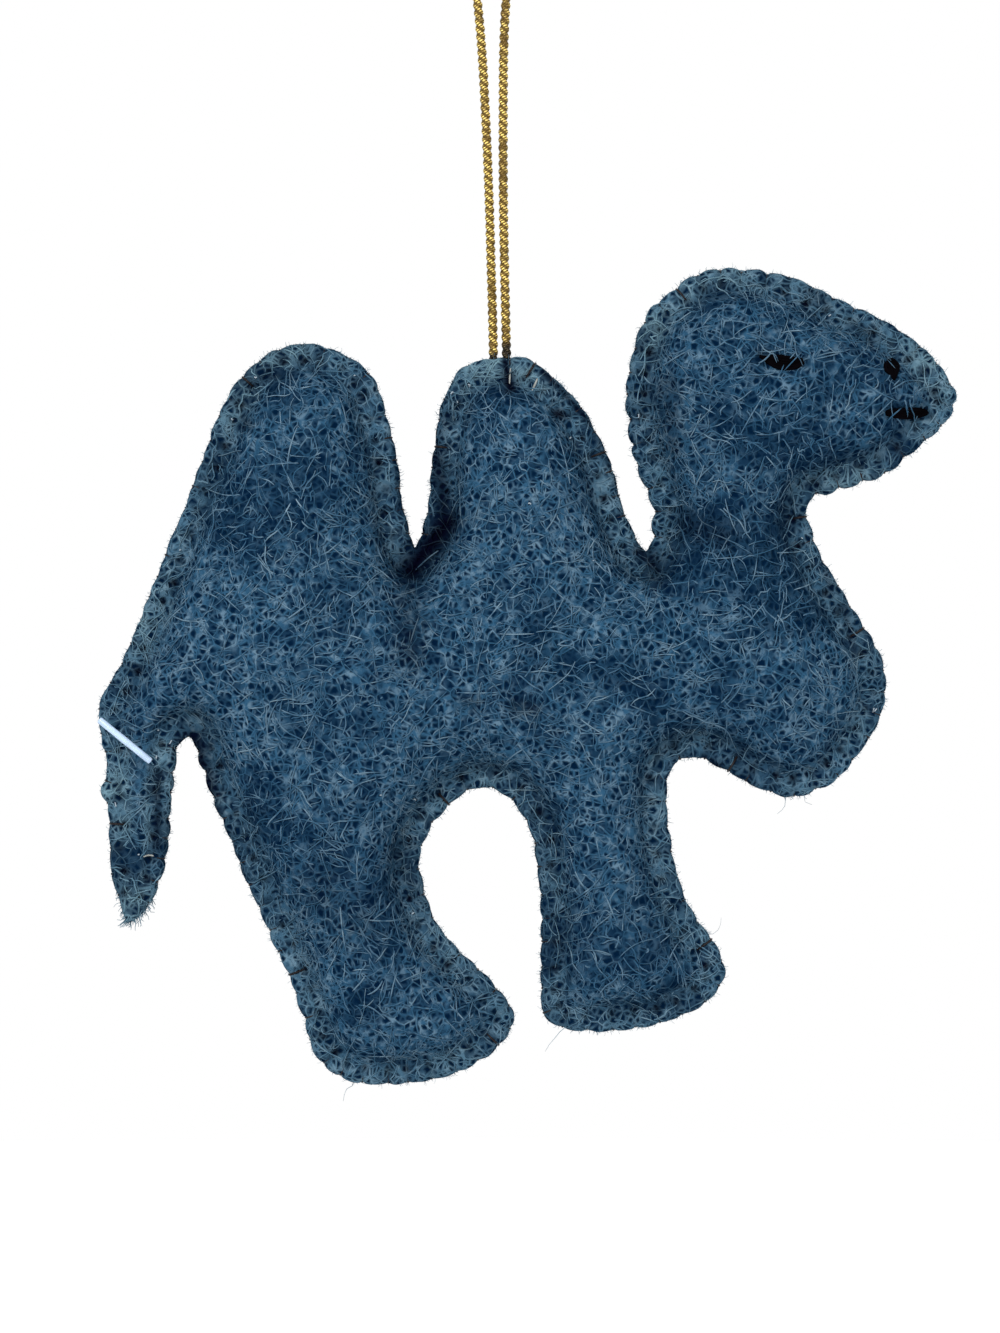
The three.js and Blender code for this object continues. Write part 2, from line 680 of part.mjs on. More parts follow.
function tagFastener() {
  const bar = new THREE.CylinderGeometry(tagBarDiameter / 2, tagBarDiameter / 2, tagBarLength, 8);
  bar.rotateZ(Math.PI / 2).rotateY(-tagBarAngle);
  bar.translate(tagHole.x, -tagSeat - tagBarDiameter / 2, tagHole.y);
  const outline = new THREE.Shape();
  const flat = (tagPaddleLength - tagPaddleWidth) / 2;
  outline.absarc(flat, 0, tagPaddleWidth / 2, -Math.PI / 2, Math.PI / 2, false);
  outline.absarc(-flat, 0, tagPaddleWidth / 2, Math.PI / 2, 1.5 * Math.PI, false);
  const paddle = new THREE.ExtrudeGeometry(outline, {
    depth: tagPaddleThickness, bevelEnabled: false, curveSegments: 6,
  });
  const paddleFace = tagSeat + tagStandOff;
  paddle.rotateX(-Math.PI / 2).rotateY(-tagBarAngle).translate(tagHole.x, paddleFace, tagHole.y);
  const filament = alongY(
    tagFilamentDiameter, -tagSeat - tagBarDiameter / 2, paddleFace + tagPaddleThickness / 2, 6,
  );
  return toGeometry(toSolid(bar).add(filament).add(toSolid(paddle)));
}

// The pieces

const cordPocket = cordEnd(clearance);
const tagPassage = alongY(tagFilamentDiameter + 2 * clearance, -throughLip, throughLip, 6);

const panelSides = { front: -1, back: 1 };
for (const [name, side] of Object.entries(panelSides)) {
  const faces = [swells.map((s) => side * innerFace(s)), swells.map((s) => side * outerFace(s))];
  if (side < 0) faces.reverse();
  let panel = slab(net.triangles, ...faces);
  panel = panel.subtract(needleHoles).subtract(cordPocket).subtract(tagPassage);
  for (const pocket of facePockets(side)) panel = panel.subtract(pocket);
  addPiece(`${name}_felt_panel`, toGeometry(panel), "felt");
  for (const [feature, shares] of Object.entries(faceShares)) {
    addPiece(`${name}_${feature}_stitch`, faceStitch(shares, side, 0), "faceThread");
  }
}

// The wool fills the panels, cut into the wads that are pushed in one by one
function prism(corners) {
  const step = clearance / 2;
  const inset = corners.map((p, i) => {
    const before = corners[(i + corners.length - 1) % corners.length];
    const after = corners[(i + 1) % corners.length];
    const [first, second] = [[before, p], [p, after]].map(([a, b]) => {
      const along = b.clone().sub(a).normalize();
      return new THREE.Vector2(along.y, -along.x);
    });
    return p.clone().addScaledVector(first.clone().add(second), step / (1 + first.dot(second)));
  });
  const depth = throughBoth;
  const block = new THREE.ExtrudeGeometry(new THREE.Shape(inset), { depth, bevelEnabled: false });
  return toSolid(block.rotateX(Math.PI / 2).translate(0, depth / 2, 0));
}

// The knot and its strands part the wool of the front hump as they are pulled in
function knotSlot() {
  const { min, max } = cordPocket.boundingBox();
  const slot = new THREE.BoxGeometry(max[0] - min[0], throughBoth, rimHeight - min[2]);
  return toSolid(slot.translate((max[0] + min[0]) / 2, 0, (rimHeight + min[2]) / 2));
}

const stuffed = net.triangles.filter((t) => t.every((i) => swells[i] > wadEdge));
const wool = slab(
  stuffed,
  swells.map((s) => clearance - innerFace(s)),
  swells.map((s) => innerFace(s) - clearance),
);
for (const [name, shares] of Object.entries(wadShares)) {
  let wad = wool.intersect(prism(shares.map(place)));
  if (name === "front_hump") wad = wad.subtract(knotSlot());
  if (name === "head") {
    for (const pocket of [...facePockets(-1), ...facePockets(1)]) wad = wad.subtract(pocket);
  }
  addPiece(`stuffing_${name}`, toGeometry(wad), "wool");
}

// The whip stitch: through a hole to the front, out and round the cut edge, and slanting in over the
// back to the next hole
const threadRadius = threadDiameter / 2;
const overLip = seamHalfGap + lipThickness + clearance + threadRadius;
const pastEdge = clearance + 2 * threadRadius;

function whipStitch(stitches) {
  const path = [];
  const add = (flat, y) => path.push(new THREE.Vector3(flat.x, y, flat.y));
  for (const { at, out, pull, hole } of stitches) {
    const [bend, rim] = [threadRadius, pastEdge].map((far) => at.clone().addScaledVector(out, far - pull));
    add(hole, overLip);
    add(hole, -overLip);
    add(bend, -overLip);
    add(rim, -overLip * wrapShare);
    add(rim, overLip * wrapShare);
    add(bend, overLip);
  }
  return tubeThrough(path, threadRadius, 4);
}

for (const run of runs) {
  addPiece(`seam_thread_${run.name}`, whipStitch(run.stitches), "seamThread");
}

// The cord
addPiece("cord_end_knot", toGeometry(cordEnd(0)), "goldCord");

function hangingCord() {
  const section = new THREE.Shape();
  section.absarc(0, 0, cordDiameter / 2, 0, 2 * Math.PI, false);
  const path = new THREE.CatmullRomCurve3(cordRoute.map((p) => new THREE.Vector3(...p)));
  const tube = new THREE.ExtrudeGeometry(section, { steps: 64, curveSegments: 4, extrudePath: path });
  const ends = strandEnds.map((end) => {
    const ball = new THREE.SphereGeometry(cordDiameter / 2, 8, 6);
    return toSolid(ball.translate(end.x, end.y, end.z));
  });
  return toGeometry(toSolid(tube).add(ends[0]).add(ends[1]));
}
addPiece("hanging_cord", hangingCord(), "goldCord");

addPiece("tag_fastener", tagFastener(), "tagPlastic");

export default ornament;
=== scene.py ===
"""A hand-felted camel ornament hung on a gold cord.

Two cut felt panels are whip-stitched together round their edge over wads of wool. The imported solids
give the places and sizes. This script dresses them: puffed felt with its relief and loose fibres, the
stitching, the twisted cord and the plastic tag fastener. Metres, +Z up, nose towards +X, front panel
towards -Y. The origin is the underside of the top of the hanging loop.
"""
import json
import math

import bmesh
import bpy
import numpy as np
from mathutils.geometry import delaunay_2d_cdt
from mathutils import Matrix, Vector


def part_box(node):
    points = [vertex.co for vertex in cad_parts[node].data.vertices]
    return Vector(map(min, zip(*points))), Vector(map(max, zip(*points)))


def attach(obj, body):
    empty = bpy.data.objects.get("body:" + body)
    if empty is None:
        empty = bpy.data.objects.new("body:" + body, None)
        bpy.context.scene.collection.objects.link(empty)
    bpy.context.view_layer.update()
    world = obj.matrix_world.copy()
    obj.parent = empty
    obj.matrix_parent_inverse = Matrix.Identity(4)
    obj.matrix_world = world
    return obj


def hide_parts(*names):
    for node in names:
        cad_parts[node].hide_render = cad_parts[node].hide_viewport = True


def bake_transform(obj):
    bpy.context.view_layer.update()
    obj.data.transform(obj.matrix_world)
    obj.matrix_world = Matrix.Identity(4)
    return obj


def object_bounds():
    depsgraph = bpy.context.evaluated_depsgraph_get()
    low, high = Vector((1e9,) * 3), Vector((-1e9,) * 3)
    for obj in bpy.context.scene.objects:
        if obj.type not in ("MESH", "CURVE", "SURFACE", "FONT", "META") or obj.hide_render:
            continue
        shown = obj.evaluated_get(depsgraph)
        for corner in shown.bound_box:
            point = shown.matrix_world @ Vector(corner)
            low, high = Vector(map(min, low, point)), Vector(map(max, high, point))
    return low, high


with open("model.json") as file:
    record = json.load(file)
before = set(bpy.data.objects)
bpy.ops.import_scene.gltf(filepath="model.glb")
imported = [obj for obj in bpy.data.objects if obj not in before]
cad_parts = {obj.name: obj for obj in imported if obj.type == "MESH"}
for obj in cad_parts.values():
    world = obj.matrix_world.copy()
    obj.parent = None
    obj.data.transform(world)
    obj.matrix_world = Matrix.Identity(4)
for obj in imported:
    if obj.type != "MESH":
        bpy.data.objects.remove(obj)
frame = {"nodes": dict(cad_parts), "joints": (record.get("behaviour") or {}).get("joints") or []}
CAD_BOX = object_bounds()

bl_info = {
    "name": "Felt camel ornament",
    "version": (1, 0, 0),
    "blender": (4, 5, 0),
    "location": "3D View > Sidebar > Ornament",
    "description": "Dresses the packed solids of a hand-felted camel ornament",
    "category": "Object",
}

MM = 0.001
TINY = 1e-12
SIDES = {"front": -1, "back": 1}  # which way each panel faces along Y

# The figure and its place, below the point where the cord's two strands bend
SWING_AT, TAG_AT = [joint["pos_m"] for joint in frame["joints"]]
FIGURE_LENGTH = 114 * MM
FIGURE_HEIGHT = 108.7 * MM
CORD_EXIT_SHARE = (0.469, 0.886)
STRAND_TO_RIM = 0.95 * MM

# The outline as shares of the figure's length and height, clockwise from the tip of the tail, in
# stretches that each begin where a run of stitches begins
OUTLINE_SHARES = {
    "back": [
        (0.0355, 0.199), (0.0222, 0.236), (0.0155, 0.264), (0.0125, 0.293), (0.0135, 0.33),
        (0.0125, 0.342), (0.0065, 0.354), (0.0055, 0.364), (0.0105, 0.379), (0.0065, 0.42),
        (0.003, 0.465), (0.03, 0.519), (0.056, 0.588), (0.094, 0.69), (0.128, 0.782), (0.15, 0.838),
        (0.169, 0.867), (0.202, 0.896), (0.242, 0.907), (0.286, 0.895), (0.32, 0.866), (0.336, 0.82),
        (0.349, 0.765), (0.356, 0.71),
    ],
    "hump_rear_side": [
        (0.37, 0.655), (0.384, 0.7), (0.389, 0.75), (0.393, 0.79), (0.402, 0.838), (0.426, 0.879),
    ],
    "hump_neck_side": [
        (0.467, 0.8905), (0.5, 0.8875), (0.517, 0.8775), (0.553, 0.8455), (0.582, 0.8), (0.602, 0.745),
        (0.618, 0.69),
    ],
    "head": [
        (0.64, 0.651), (0.648, 0.7), (0.636, 0.738), (0.622, 0.785), (0.617, 0.84), (0.6235, 0.9),
        (0.645, 0.95), (0.668, 0.9685), (0.7, 0.993), (0.743, 1), (0.808, 0.9885), (0.87, 0.957),
        (0.925, 0.93), (0.972, 0.89), (0.9995, 0.842), (0.988, 0.808), (0.96, 0.781), (0.922, 0.749),
        (0.87, 0.729),
    ],
    "chest": [
        (0.829, 0.71), (0.837, 0.664), (0.86, 0.62), (0.887, 0.57), (0.912, 0.526), (0.919, 0.48),
        (0.908, 0.44), (0.888, 0.408), (0.857, 0.371), (0.81, 0.353), (0.765, 0.366), (0.728, 0.389),
        (0.692, 0.401),
    ],
    "front_leg": [
        (0.669, 0.388), (0.664, 0.349), (0.667, 0.3), (0.678, 0.251), (0.701, 0.199), (0.725, 0.161),
        (0.73, 0.138), (0.715, 0.109), (0.683, 0.086), (0.646, 0.0735), (0.586, 0.067), (0.542, 0.069),
        (0.519, 0.087), (0.516, 0.13), (0.517, 0.19), (0.512, 0.263), (0.501, 0.32), (0.481, 0.35),
    ],
    "rear_leg": [
        (0.446, 0.363), (0.416, 0.347), (0.39, 0.315), (0.375, 0.273), (0.381, 0.239), (0.397, 0.196),
        (0.43, 0.156), (0.466, 0.12), (0.486, 0.087), (0.474, 0.057), (0.442, 0.028), (0.4, 0.01),
        (0.341, 0), (0.29, 0.006), (0.257, 0.032), (0.239, 0.08), (0.224, 0.129), (0.202, 0.184),
        (0.174, 0.251), (0.145, 0.324), (0.12, 0.39),
    ],
    "tail": [
        (0.107, 0.427), (0.096, 0.416), (0.091, 0.39), (0.0865, 0.349), (0.0795, 0.288),
        (0.0725, 0.251), (0.054, 0.214),
    ],
}

# How far the stitches keep from the ends of their run, in a notch, in a bend, at the tip and the cord
NOTCH_MARGIN = 2.4 * MM
BEND_MARGIN = 1.6 * MM
TIP_MARGIN = 4 * MM
CORD_MARGINS = (4.1 * MM, 1.6 * MM)

# Each run of stitches: how far it keeps from both ends, how deep its stitches draw the edge in, and
# what share of them lies open on the felt; the wool has closed over the others
RUNS = {
    "back": {"margins": (TIP_MARGIN, NOTCH_MARGIN), "pull": 0.2 * MM, "shows": 0.1},
    "hump_rear_side": {"margins": (NOTCH_MARGIN, CORD_MARGINS[0]), "pull": 0.2 * MM, "shows": 0.05},
    "hump_neck_side": {"margins": (CORD_MARGINS[1], NOTCH_MARGIN), "pull": 0.2 * MM, "shows": 0.12},
    "head": {"margins": (NOTCH_MARGIN, BEND_MARGIN), "pull": 0.5 * MM, "shows": 0.06},
    "chest": {"margins": (BEND_MARGIN, BEND_MARGIN), "pull": 0.32 * MM, "shows": 0.08},
    "front_leg": {"margins": (BEND_MARGIN, BEND_MARGIN), "pull": 0.3 * MM, "shows": 0.08},
    "rear_leg": {"margins": (BEND_MARGIN, NOTCH_MARGIN), "pull": 0.32 * MM, "shows": 0.1},
    "tail": {"margins": (NOTCH_MARGIN, TIP_MARGIN), "pull": 0.34 * MM, "shows": 0.15},
}

# Where the edge is sewn with hardly a dip: the muzzle
EVEN_EDGE_SHARE = (0.935, 0.9)
EVEN_EDGE_REACH = 9 * MM
EVEN_EDGE_STRENGTH = 0.75

# How unevenly a hand sews: how far a stitch strays from its place, of the pitch, how deep in it goes
# and how hard it is pulled
STITCH_STRAY_SHARE = 0.12
INSET_UNEVEN = (0.85, 1.1)
PULL_UNEVEN = (0.65, 1.3)
LOBE_FLATNESS = 0.55  # the power of the arch that the edge makes between two stitches
LOBE_REACH_SHARE = 0.25  # how far it stands out past the even edge, of how deep the stitches pull

# The whip-stitching's thread on its way: how deep it lies, in its radii, where it shows and where the
# wool has closed over it, how high it stands at its holes and beside the rim, of the felt's height
OPEN_SINKS = (-0.2, 0.6)
CLOSED_SINKS = (1.8, 2.6)
HOLE_RISE_SHARE = 0.75
BEND_RISE_SHARE = 0.9
BEND_INSET = 0.4 * MM
SLANT_SHARE = 0.4  # how far along to the next hole the thread is when it is back over the felt
RIM_REACH_SHARE = 0.2  # how far a stitch stands out past the cut edge, of what it does on the face
SEAM_THREAD_SIDES = 5
THREAD_SAMPLES = 3
# The colour painted on the seam thread where it glints: a painted highlight
PAINTED_THREAD_GLINT = (0.29, 0.3, 0.28)

# The felt's section and relief
SEAM_HALF_GAP = 0.06 * MM
SEAM_WANDER = ((1.8 * MM, 0.2 * MM),)
# How dark the painted shade is on the panels' inner faces, in the gap between them
SEAM_PAINTED_SHADE = 0.45
NEAREST_WALL = 1.2 * MM  # nearer than this, straight in from an edge, it only meets its own bend
LIP_WIDTH_SHARE = 0.34
LIP_EVENING = 7  # over how many steps of the edge to each side the lip's width is evened out
NEEDLE_INSET = 2.3 * MM
NEEDLE_INSET_SHARE = 0.24
PULL_SHARE = 0.05
SWELL_SPREAD = 7 * MM
SWELL_SOFTNESS = 0.1
RIM_OUTER_ROUND = 1.1 * MM
RIM_INNER_ROUND = 0.45 * MM
RIM_MIDDLE_SHARE = 0.42
GROOVE_DEPTH = 0.26 * MM
GROOVE_WIDTH = 0.6 * MM
HOLE_DEPTH = 0.35 * MM
HOLE_WIDTH = 0.5 * MM
CORD_NOTCH_DEPTH = 0.25 * MM
CORD_NOTCH_WIDTH = 0.8 * MM
CREASE_DEPTH = 0.12 * MM
CREASE_WIDTH = 1.1 * MM
CREASE_SHIFT = 0.2 * MM  # how far outside the lip's inner end the crease is deepest
MARKED_RIM = 5 * MM  # how far in from the edge a stitch can mark the felt
RELIEF = ((4.2 * MM, 0.3 * MM), (1.6 * MM, 0.16 * MM), (0.85 * MM, 0.11 * MM))
EDGE_WANDER = ((5 * MM, 0.2 * MM), (1.9 * MM, 0.1 * MM), (0.8 * MM, 0.06 * MM))

# Where the felt is darkest, as lines from one place to another in shares of the figure, each with its
# width and its strength: the saddle, both sides of the front hump, the leg below the tail, inside the
# head's back, under the jaw, under the chest and along its rim, the inner sides of the tail and the
# rear leg, the rear hump's top, the cord's right foot and a few single spots. The dark is partly
# the felt's own navy blotches and partly painted shade: in the notches, under the jaw and the
# chest, where the tail meets the rear leg and at the cord's right foot
DARK_BLOTCH_AND_SHADE_LINES = [
    ((0.407, 0.688), (0.366, 0.63), 2.1 * MM, 1),
    ((0.36, 0.622), (0.366, 0.526), 2.6 * MM, 0.55),
    ((0.407, 0.685), (0.394, 0.777), 1.4 * MM, 0.8),
    ((0.394, 0.777), (0.407, 0.82), 1.1 * MM, 0.5),
    ((0.52, 0.872), (0.578, 0.806), 0.6 * MM, 0.8),
    ((0.578, 0.806), (0.636, 0.664), 0.9 * MM, 0.45),
    ((0.644, 0.652), (0.65, 0.62), 1.5 * MM, 0.6),
    ((0.11, 0.42), (0.127, 0.355), 2.3 * MM, 0.95),
    ((0.127, 0.355), (0.16, 0.251), 1.7 * MM, 0.8),
    ((0.16, 0.251), (0.195, 0.155), 1.3 * MM, 0.5),
    ((0.664, 0.857), (0.67, 0.777), 1.5 * MM, 0.5),
    ((0.708, 0.392), (0.722, 0.386), 1.1 * MM, 0.75),
    ((0.488, 0.464), (0.505, 0.463), 1.4 * MM, 0.6),
    ((0.43, 0.469), (0.44, 0.468), 1.3 * MM, 0.4),
    ((0.83, 0.971), (0.845, 0.96), 1 * MM, 0.5),
    ((0.884, 0.929), (0.9, 0.915), 1.1 * MM, 0.45),
    ((0.535, 0.821), (0.54, 0.82), 0.85 * MM, 1),
    ((0.26, 0.235), (0.295, 0.205), 4 * MM, 0.35),
    ((0.69, 0.685), (0.725, 0.67), 2.2 * MM, 0.45),
    ((0.632, 0.653), (0.65, 0.633), 1.2 * MM, 0.8),
    ((0.8365, 0.7355), (0.8385, 0.735), 1 * MM, 0.6),
    ((0.351, 0.291), (0.372, 0.231), 2.2 * MM, 0.4),
    ((0.0712, 0.383), (0.0692, 0.293), 0.7 * MM, 0.75),
    ((0.1925, 0.8665), (0.21, 0.8665), 0.7 * MM, 0.5),
    ((0.173, 0.8085), (0.174, 0.807), 1.1 * MM, 0.6),
    ((0.846, 0.6375), (0.8535, 0.608), 0.7 * MM, 0.5),
    ((0.868, 0.584), (0.8835, 0.5265), 0.7 * MM, 0.5),
    ((0.475, 0.884), (0.478, 0.87), 0.6 * MM, 1),
    ((0.4785, 0.866), (0.481, 0.851), 1 * MM, 1),
]

# Where the felt is palest, as places in shares of the figure with their reach and their strength: the
# front hump's top, the head's back and crown, the muzzle, the rear hump's shoulder and top, the back,
# the tail and its tip, and the jaw. The pale is partly the felt's own greyer colour along its cut
# edge and partly painted sheen, a haze of light along the rims
PALE_AND_SHEEN_PLACES = [
    ((0.469, 0.872), 4.5 * MM, 0.85),
    ((0.642, 0.918), 3.5 * MM, 0.8),
    ((0.72, 0.985), 4.5 * MM, 0.5),
    ((0.971, 0.875), 3.5 * MM, 0.6),
    ((0.165, 0.872), 5 * MM, 0.8),
    ((0.215, 0.898), 4 * MM, 0.7),
    ((0.049, 0.569), 5 * MM, 0.45),
    ((0.037, 0.35), 7 * MM, 0.5),
    ((0.03, 0.226), 4 * MM, 0.7),
    ((0.87, 0.745), 4 * MM, 0.3),
]
# How much of the paleness and painted sheen lies all along the rim, and from where to where in from the
# cut edge it fades out
EVERYWHERE_PALE_AND_SHEEN = 0.3
PALE_AND_SHEEN_BAND = (1.6 * MM, 5 * MM)

# Specks of white lint caught in the felt; their pale colour also stands for glints, as painted glints
LINT_SHARES = [
    (0.432, 0.856), (0.415, 0.847), (0.419, 0.836), (0.552, 0.792), (0.071, 0.434), (0.087, 0.4225),
    (0.021, 0.343), (0.0475, 0.2825), (0.854, 0.942), (0.505, 0.709), (0.627, 0.8225), (0.579, 0.64),
    (0.1835, 0.866), (0.1585, 0.8135), (0.3005, 0.868), (0.0975, 0.654), (0.369, 0.212),
    (0.369, 0.3505), (0.3315, 0.3565), (0.8215, 0.668), (0.9075, 0.4595), (0.07, 0.403),
]
LINT_AND_GLINT = (0.29, 0.35, 0.4)
LINT_LENGTH = 0.4 * MM
LINT_UNEVEN = (0.6, 1.3)
LINT_TURN = 1.4
LINT_WAVE = 0.4
LINT_RADIUS = 0.095 * MM
LINT_RISE_SHARE = 1.5  # how high its middle stands over the felt, in its radii
LINT_SIDES = 5

# How finely the felt is divided, and how far its grid strays from even and keeps from its rings
EDGE_STEP = 0.35 * MM
GRID_STEP = 0.5 * MM
OUTER_STEP = 0.42 * MM
INNER_STEP = 1.3 * MM
OUTER_RINGS = (0.12 * MM, 0.32 * MM, 0.62 * MM, 1 * MM, 1.4 * MM)
INNER_RINGS = (0.15 * MM, 0.45 * MM, 1.1 * MM)
RING_KEPT_SHARE = 0.86
GRID_CLEAR_SHARE = 0.55
GRID_STRAY_SHARE = 0.12
GRID_MARGIN = 4  # columns and rows of the grid past the figure's box
GRID_FAR_SIDE = 1.001  # how many steps short of its number of columns and rows it is still read
CURVE_SAMPLES = 40
DENT_SAMPLES = 6
STRAND_SAMPLES = 5
LIFT_SWEEPS = 900
NOISE_LATTICE = 97
MOST_AT_ONCE = 4096  # places that are compared with all others in one go
MOST_WALLS_AT_ONCE = 256
MERGE_DISTANCE = 0.001 * MM
SAME_POINT = 1e-9  # nearer than this, two points are one when the cut is filled
EDGE_MOVED = 1e-7  # the most that filling may move a point of the edge
KEEP_INSIDE = 1  # the filling that leaves out what lies outside the edge

# The wads of wool
WAD_VOXEL = 0.9 * MM
WAD_SMOOTHING = 4
WAD_TUFTS = ((3 * MM, 0.2 * MM), (1.4 * MM, 0.1 * MM))
WAD_SINK = 0.5 * MM  # how far a wad's skin lies inside its solid

# The seeds of all that is random, so that each run makes the same ornament
STITCH_SEED = 11
THREAD_SEED = 21
FACE_SEED = 31
SEAM_SEED = 33
EDGE_SEED = 40
RELIEF_SEEDS = {-1: 60, 1: 80}
MARK_SEED = 71
TUFT_SEED = 90
FILL_SEED = 5
FIBRE_SEED = 300
HAIR_SEED = 330
LINT_SEED = 340

# Loose fibres: what share of all, how long, how thick, how light, how much they turn and wave, how far
# they stand off, and what share of them bridges the dents of the face stitches
FIBRE_KINDS = {
    "matted": {
        "share": 0.7, "lengths": (1.8 * MM, 4.2 * MM), "radii": (0.08 * MM, 0.14 * MM),
        "tints": (0.05, 0.65), "turn": 0.9, "wave": 0.4, "lifts": (-0.06 * MM, 0.06 * MM),
        "bridges": 0,
    },
    "loose": {
        "share": 0.26, "lengths": (2.4 * MM, 7 * MM), "radii": (0.07 * MM, 0.12 * MM),
        "tints": (0.3, 0.9), "turn": 0.5, "wave": 0.2, "lifts": (0.03 * MM, 0.2 * MM),
        "bridges": 0.8,
    },
}
FIBRE_POINTS = 9
FIBRE_SIDES = 3
FIBRE_SHORTEST = 2.6 * MM
FIBRE_OVERHANG = 1 * MM  # how far past the cut edge a fibre may run and be bent over it
FIBRE_TRIES = 5  # how many are tried for each that is wanted
FIBRE_WAVES = (0.8, 2)  # how many waves lie on one
FIBRE_ARCH_POWER = 0.7
FIBRE_TIP_SHARE = 0.4  # how thick its tips are, of its middle
FIBRE_TIP_SINK = 1.4  # how far its tips go down, in its radii
FIBRE_LEAP_SHARE = 1.6  # one that stretches more than this where it is bent down is left out
FACE_CLEARANCE = 1.1 * MM  # within this of a face stitch, only this share of the fibres is kept
FACE_CLEAR_SHARE = 0.75
RIM_LAY_DEPTH = 3 * MM  # within this of the edge, this share of the fibres follows it
RIM_LAY_SHARE = 0.45
RIM_LAY_SPREAD = 0.6

# Hairs at the rim, frayed ones at the tip of the tail and strays: how long, how thick, how far they
# spread, and which way they drift; the tail's hang down and back
HAIR_KINDS = {
    "rim": {
        "lengths": (0.3 * MM, 1.1 * MM), "radii": (0.028 * MM, 0.05 * MM), "spread": 0.75,
        "drift": (0, 0),
    },
    "frayed": {
        "lengths": (1 * MM, 2.4 * MM), "radii": (0.05 * MM, 0.09 * MM), "spread": 0.35,
        "drift": (-0.7, -1.3),
    },
    "stray": {
        "lengths": (4 * MM, 5.2 * MM), "radii": (0.028 * MM, 0.05 * MM), "spread": 0.4,
        "drift": (0, 0),
    },
}
HAIR_POINTS = 5
HAIR_UNEVEN = (0.4, 1)
HAIR_TURN = 1.2
HAIR_WAVE = 0.3
HAIR_ROOT = 0.25 * MM  # how far in from the cut edge it is rooted
HAIR_BAND_SHARE = 0.85  # over how much of the lips' thickness the roots are spread
HAIR_LEAN = 0.35
HAIR_TIP_SHARE = 0.45
HAIR_TINTS = (0.2, 0.9)
# How pale the rim hairs are: partly their own greyer colour and partly painted sheen
HAIR_PALE_AND_SHEEN = 0.6
TAIL_TIP_SHARE = (0.036, 0.199)
TAIL_TIP_REACH = 4.5 * MM
FRAYED_HAIRS = 90
STRAY_SHARES = [(0.836, 0.362), (0.8, 0.356), (0.3, 0.003), (0.545, 0.07), (0.72, 0.19)]

# The face's features: each one's line as shares of the figure, its thickness, its number of strands
# and what is left of the thickness at the line's start
FEATURES = {
    "eye": {
        "shares": [
            (0.7725, 0.8865), (0.7785, 0.8845), (0.79, 0.8815), (0.806, 0.8795), (0.819, 0.8815)],
        "thickness": 2.05 * MM, "strands": 5, "taper": 0.25,
    },
    "nostril": {
        "shares": [(0.9265, 0.8645), (0.9245, 0.874), (0.9225, 0.8835)],
        "thickness": 2.3 * MM, "strands": 6, "taper": 0.45,
    },
    "mouth": {
        "shares": [(0.9175, 0.8205), (0.941, 0.8205), (0.9645, 0.8225)],
        "thickness": 1.6 * MM, "strands": 4, "taper": 0.8,
    },
}
FACE_TAPER_END = 0.2  # where the thickness is full, on the way from -1 to 1
FACE_POINTEDNESS = 0.86
FACE_DENT = 0.75 * MM
FACE_DENT_WIDTH = 1 * MM
FACE_UNEVEN = 0.25 * MM  # how far the strands' ends lie out of line
FACE_THREAD_SIDES = 8
STRAND_RISE = 0.9  # how high a strand stands at its middle, in its radii
STRAND_FALL = 0.5  # and how much lower at its ends
STRAND_STAGGER = 0.35  # how much higher every other strand stands
STRAND_SUNK_SHARE = 0.8  # how deep its ends go, of the felt's inner face

# The marks that the sewing leaves: a stitch's groove, a needle hole, the crease and a face stitch's
# dent; how deep each is and how dark the painted shade in it is, and by what share and over what
# distance that painted shade comes and goes
MARK_DEPTHS = (GROOVE_DEPTH, HOLE_DEPTH, CREASE_DEPTH, FACE_DENT)
MARK_PAINTED_SHADES = (0.35, 0.95, 0.15, 0.5)
MARK_UNEVEN_SHARE = 0.4
MARK_UNEVEN_CELL = 3 * MM
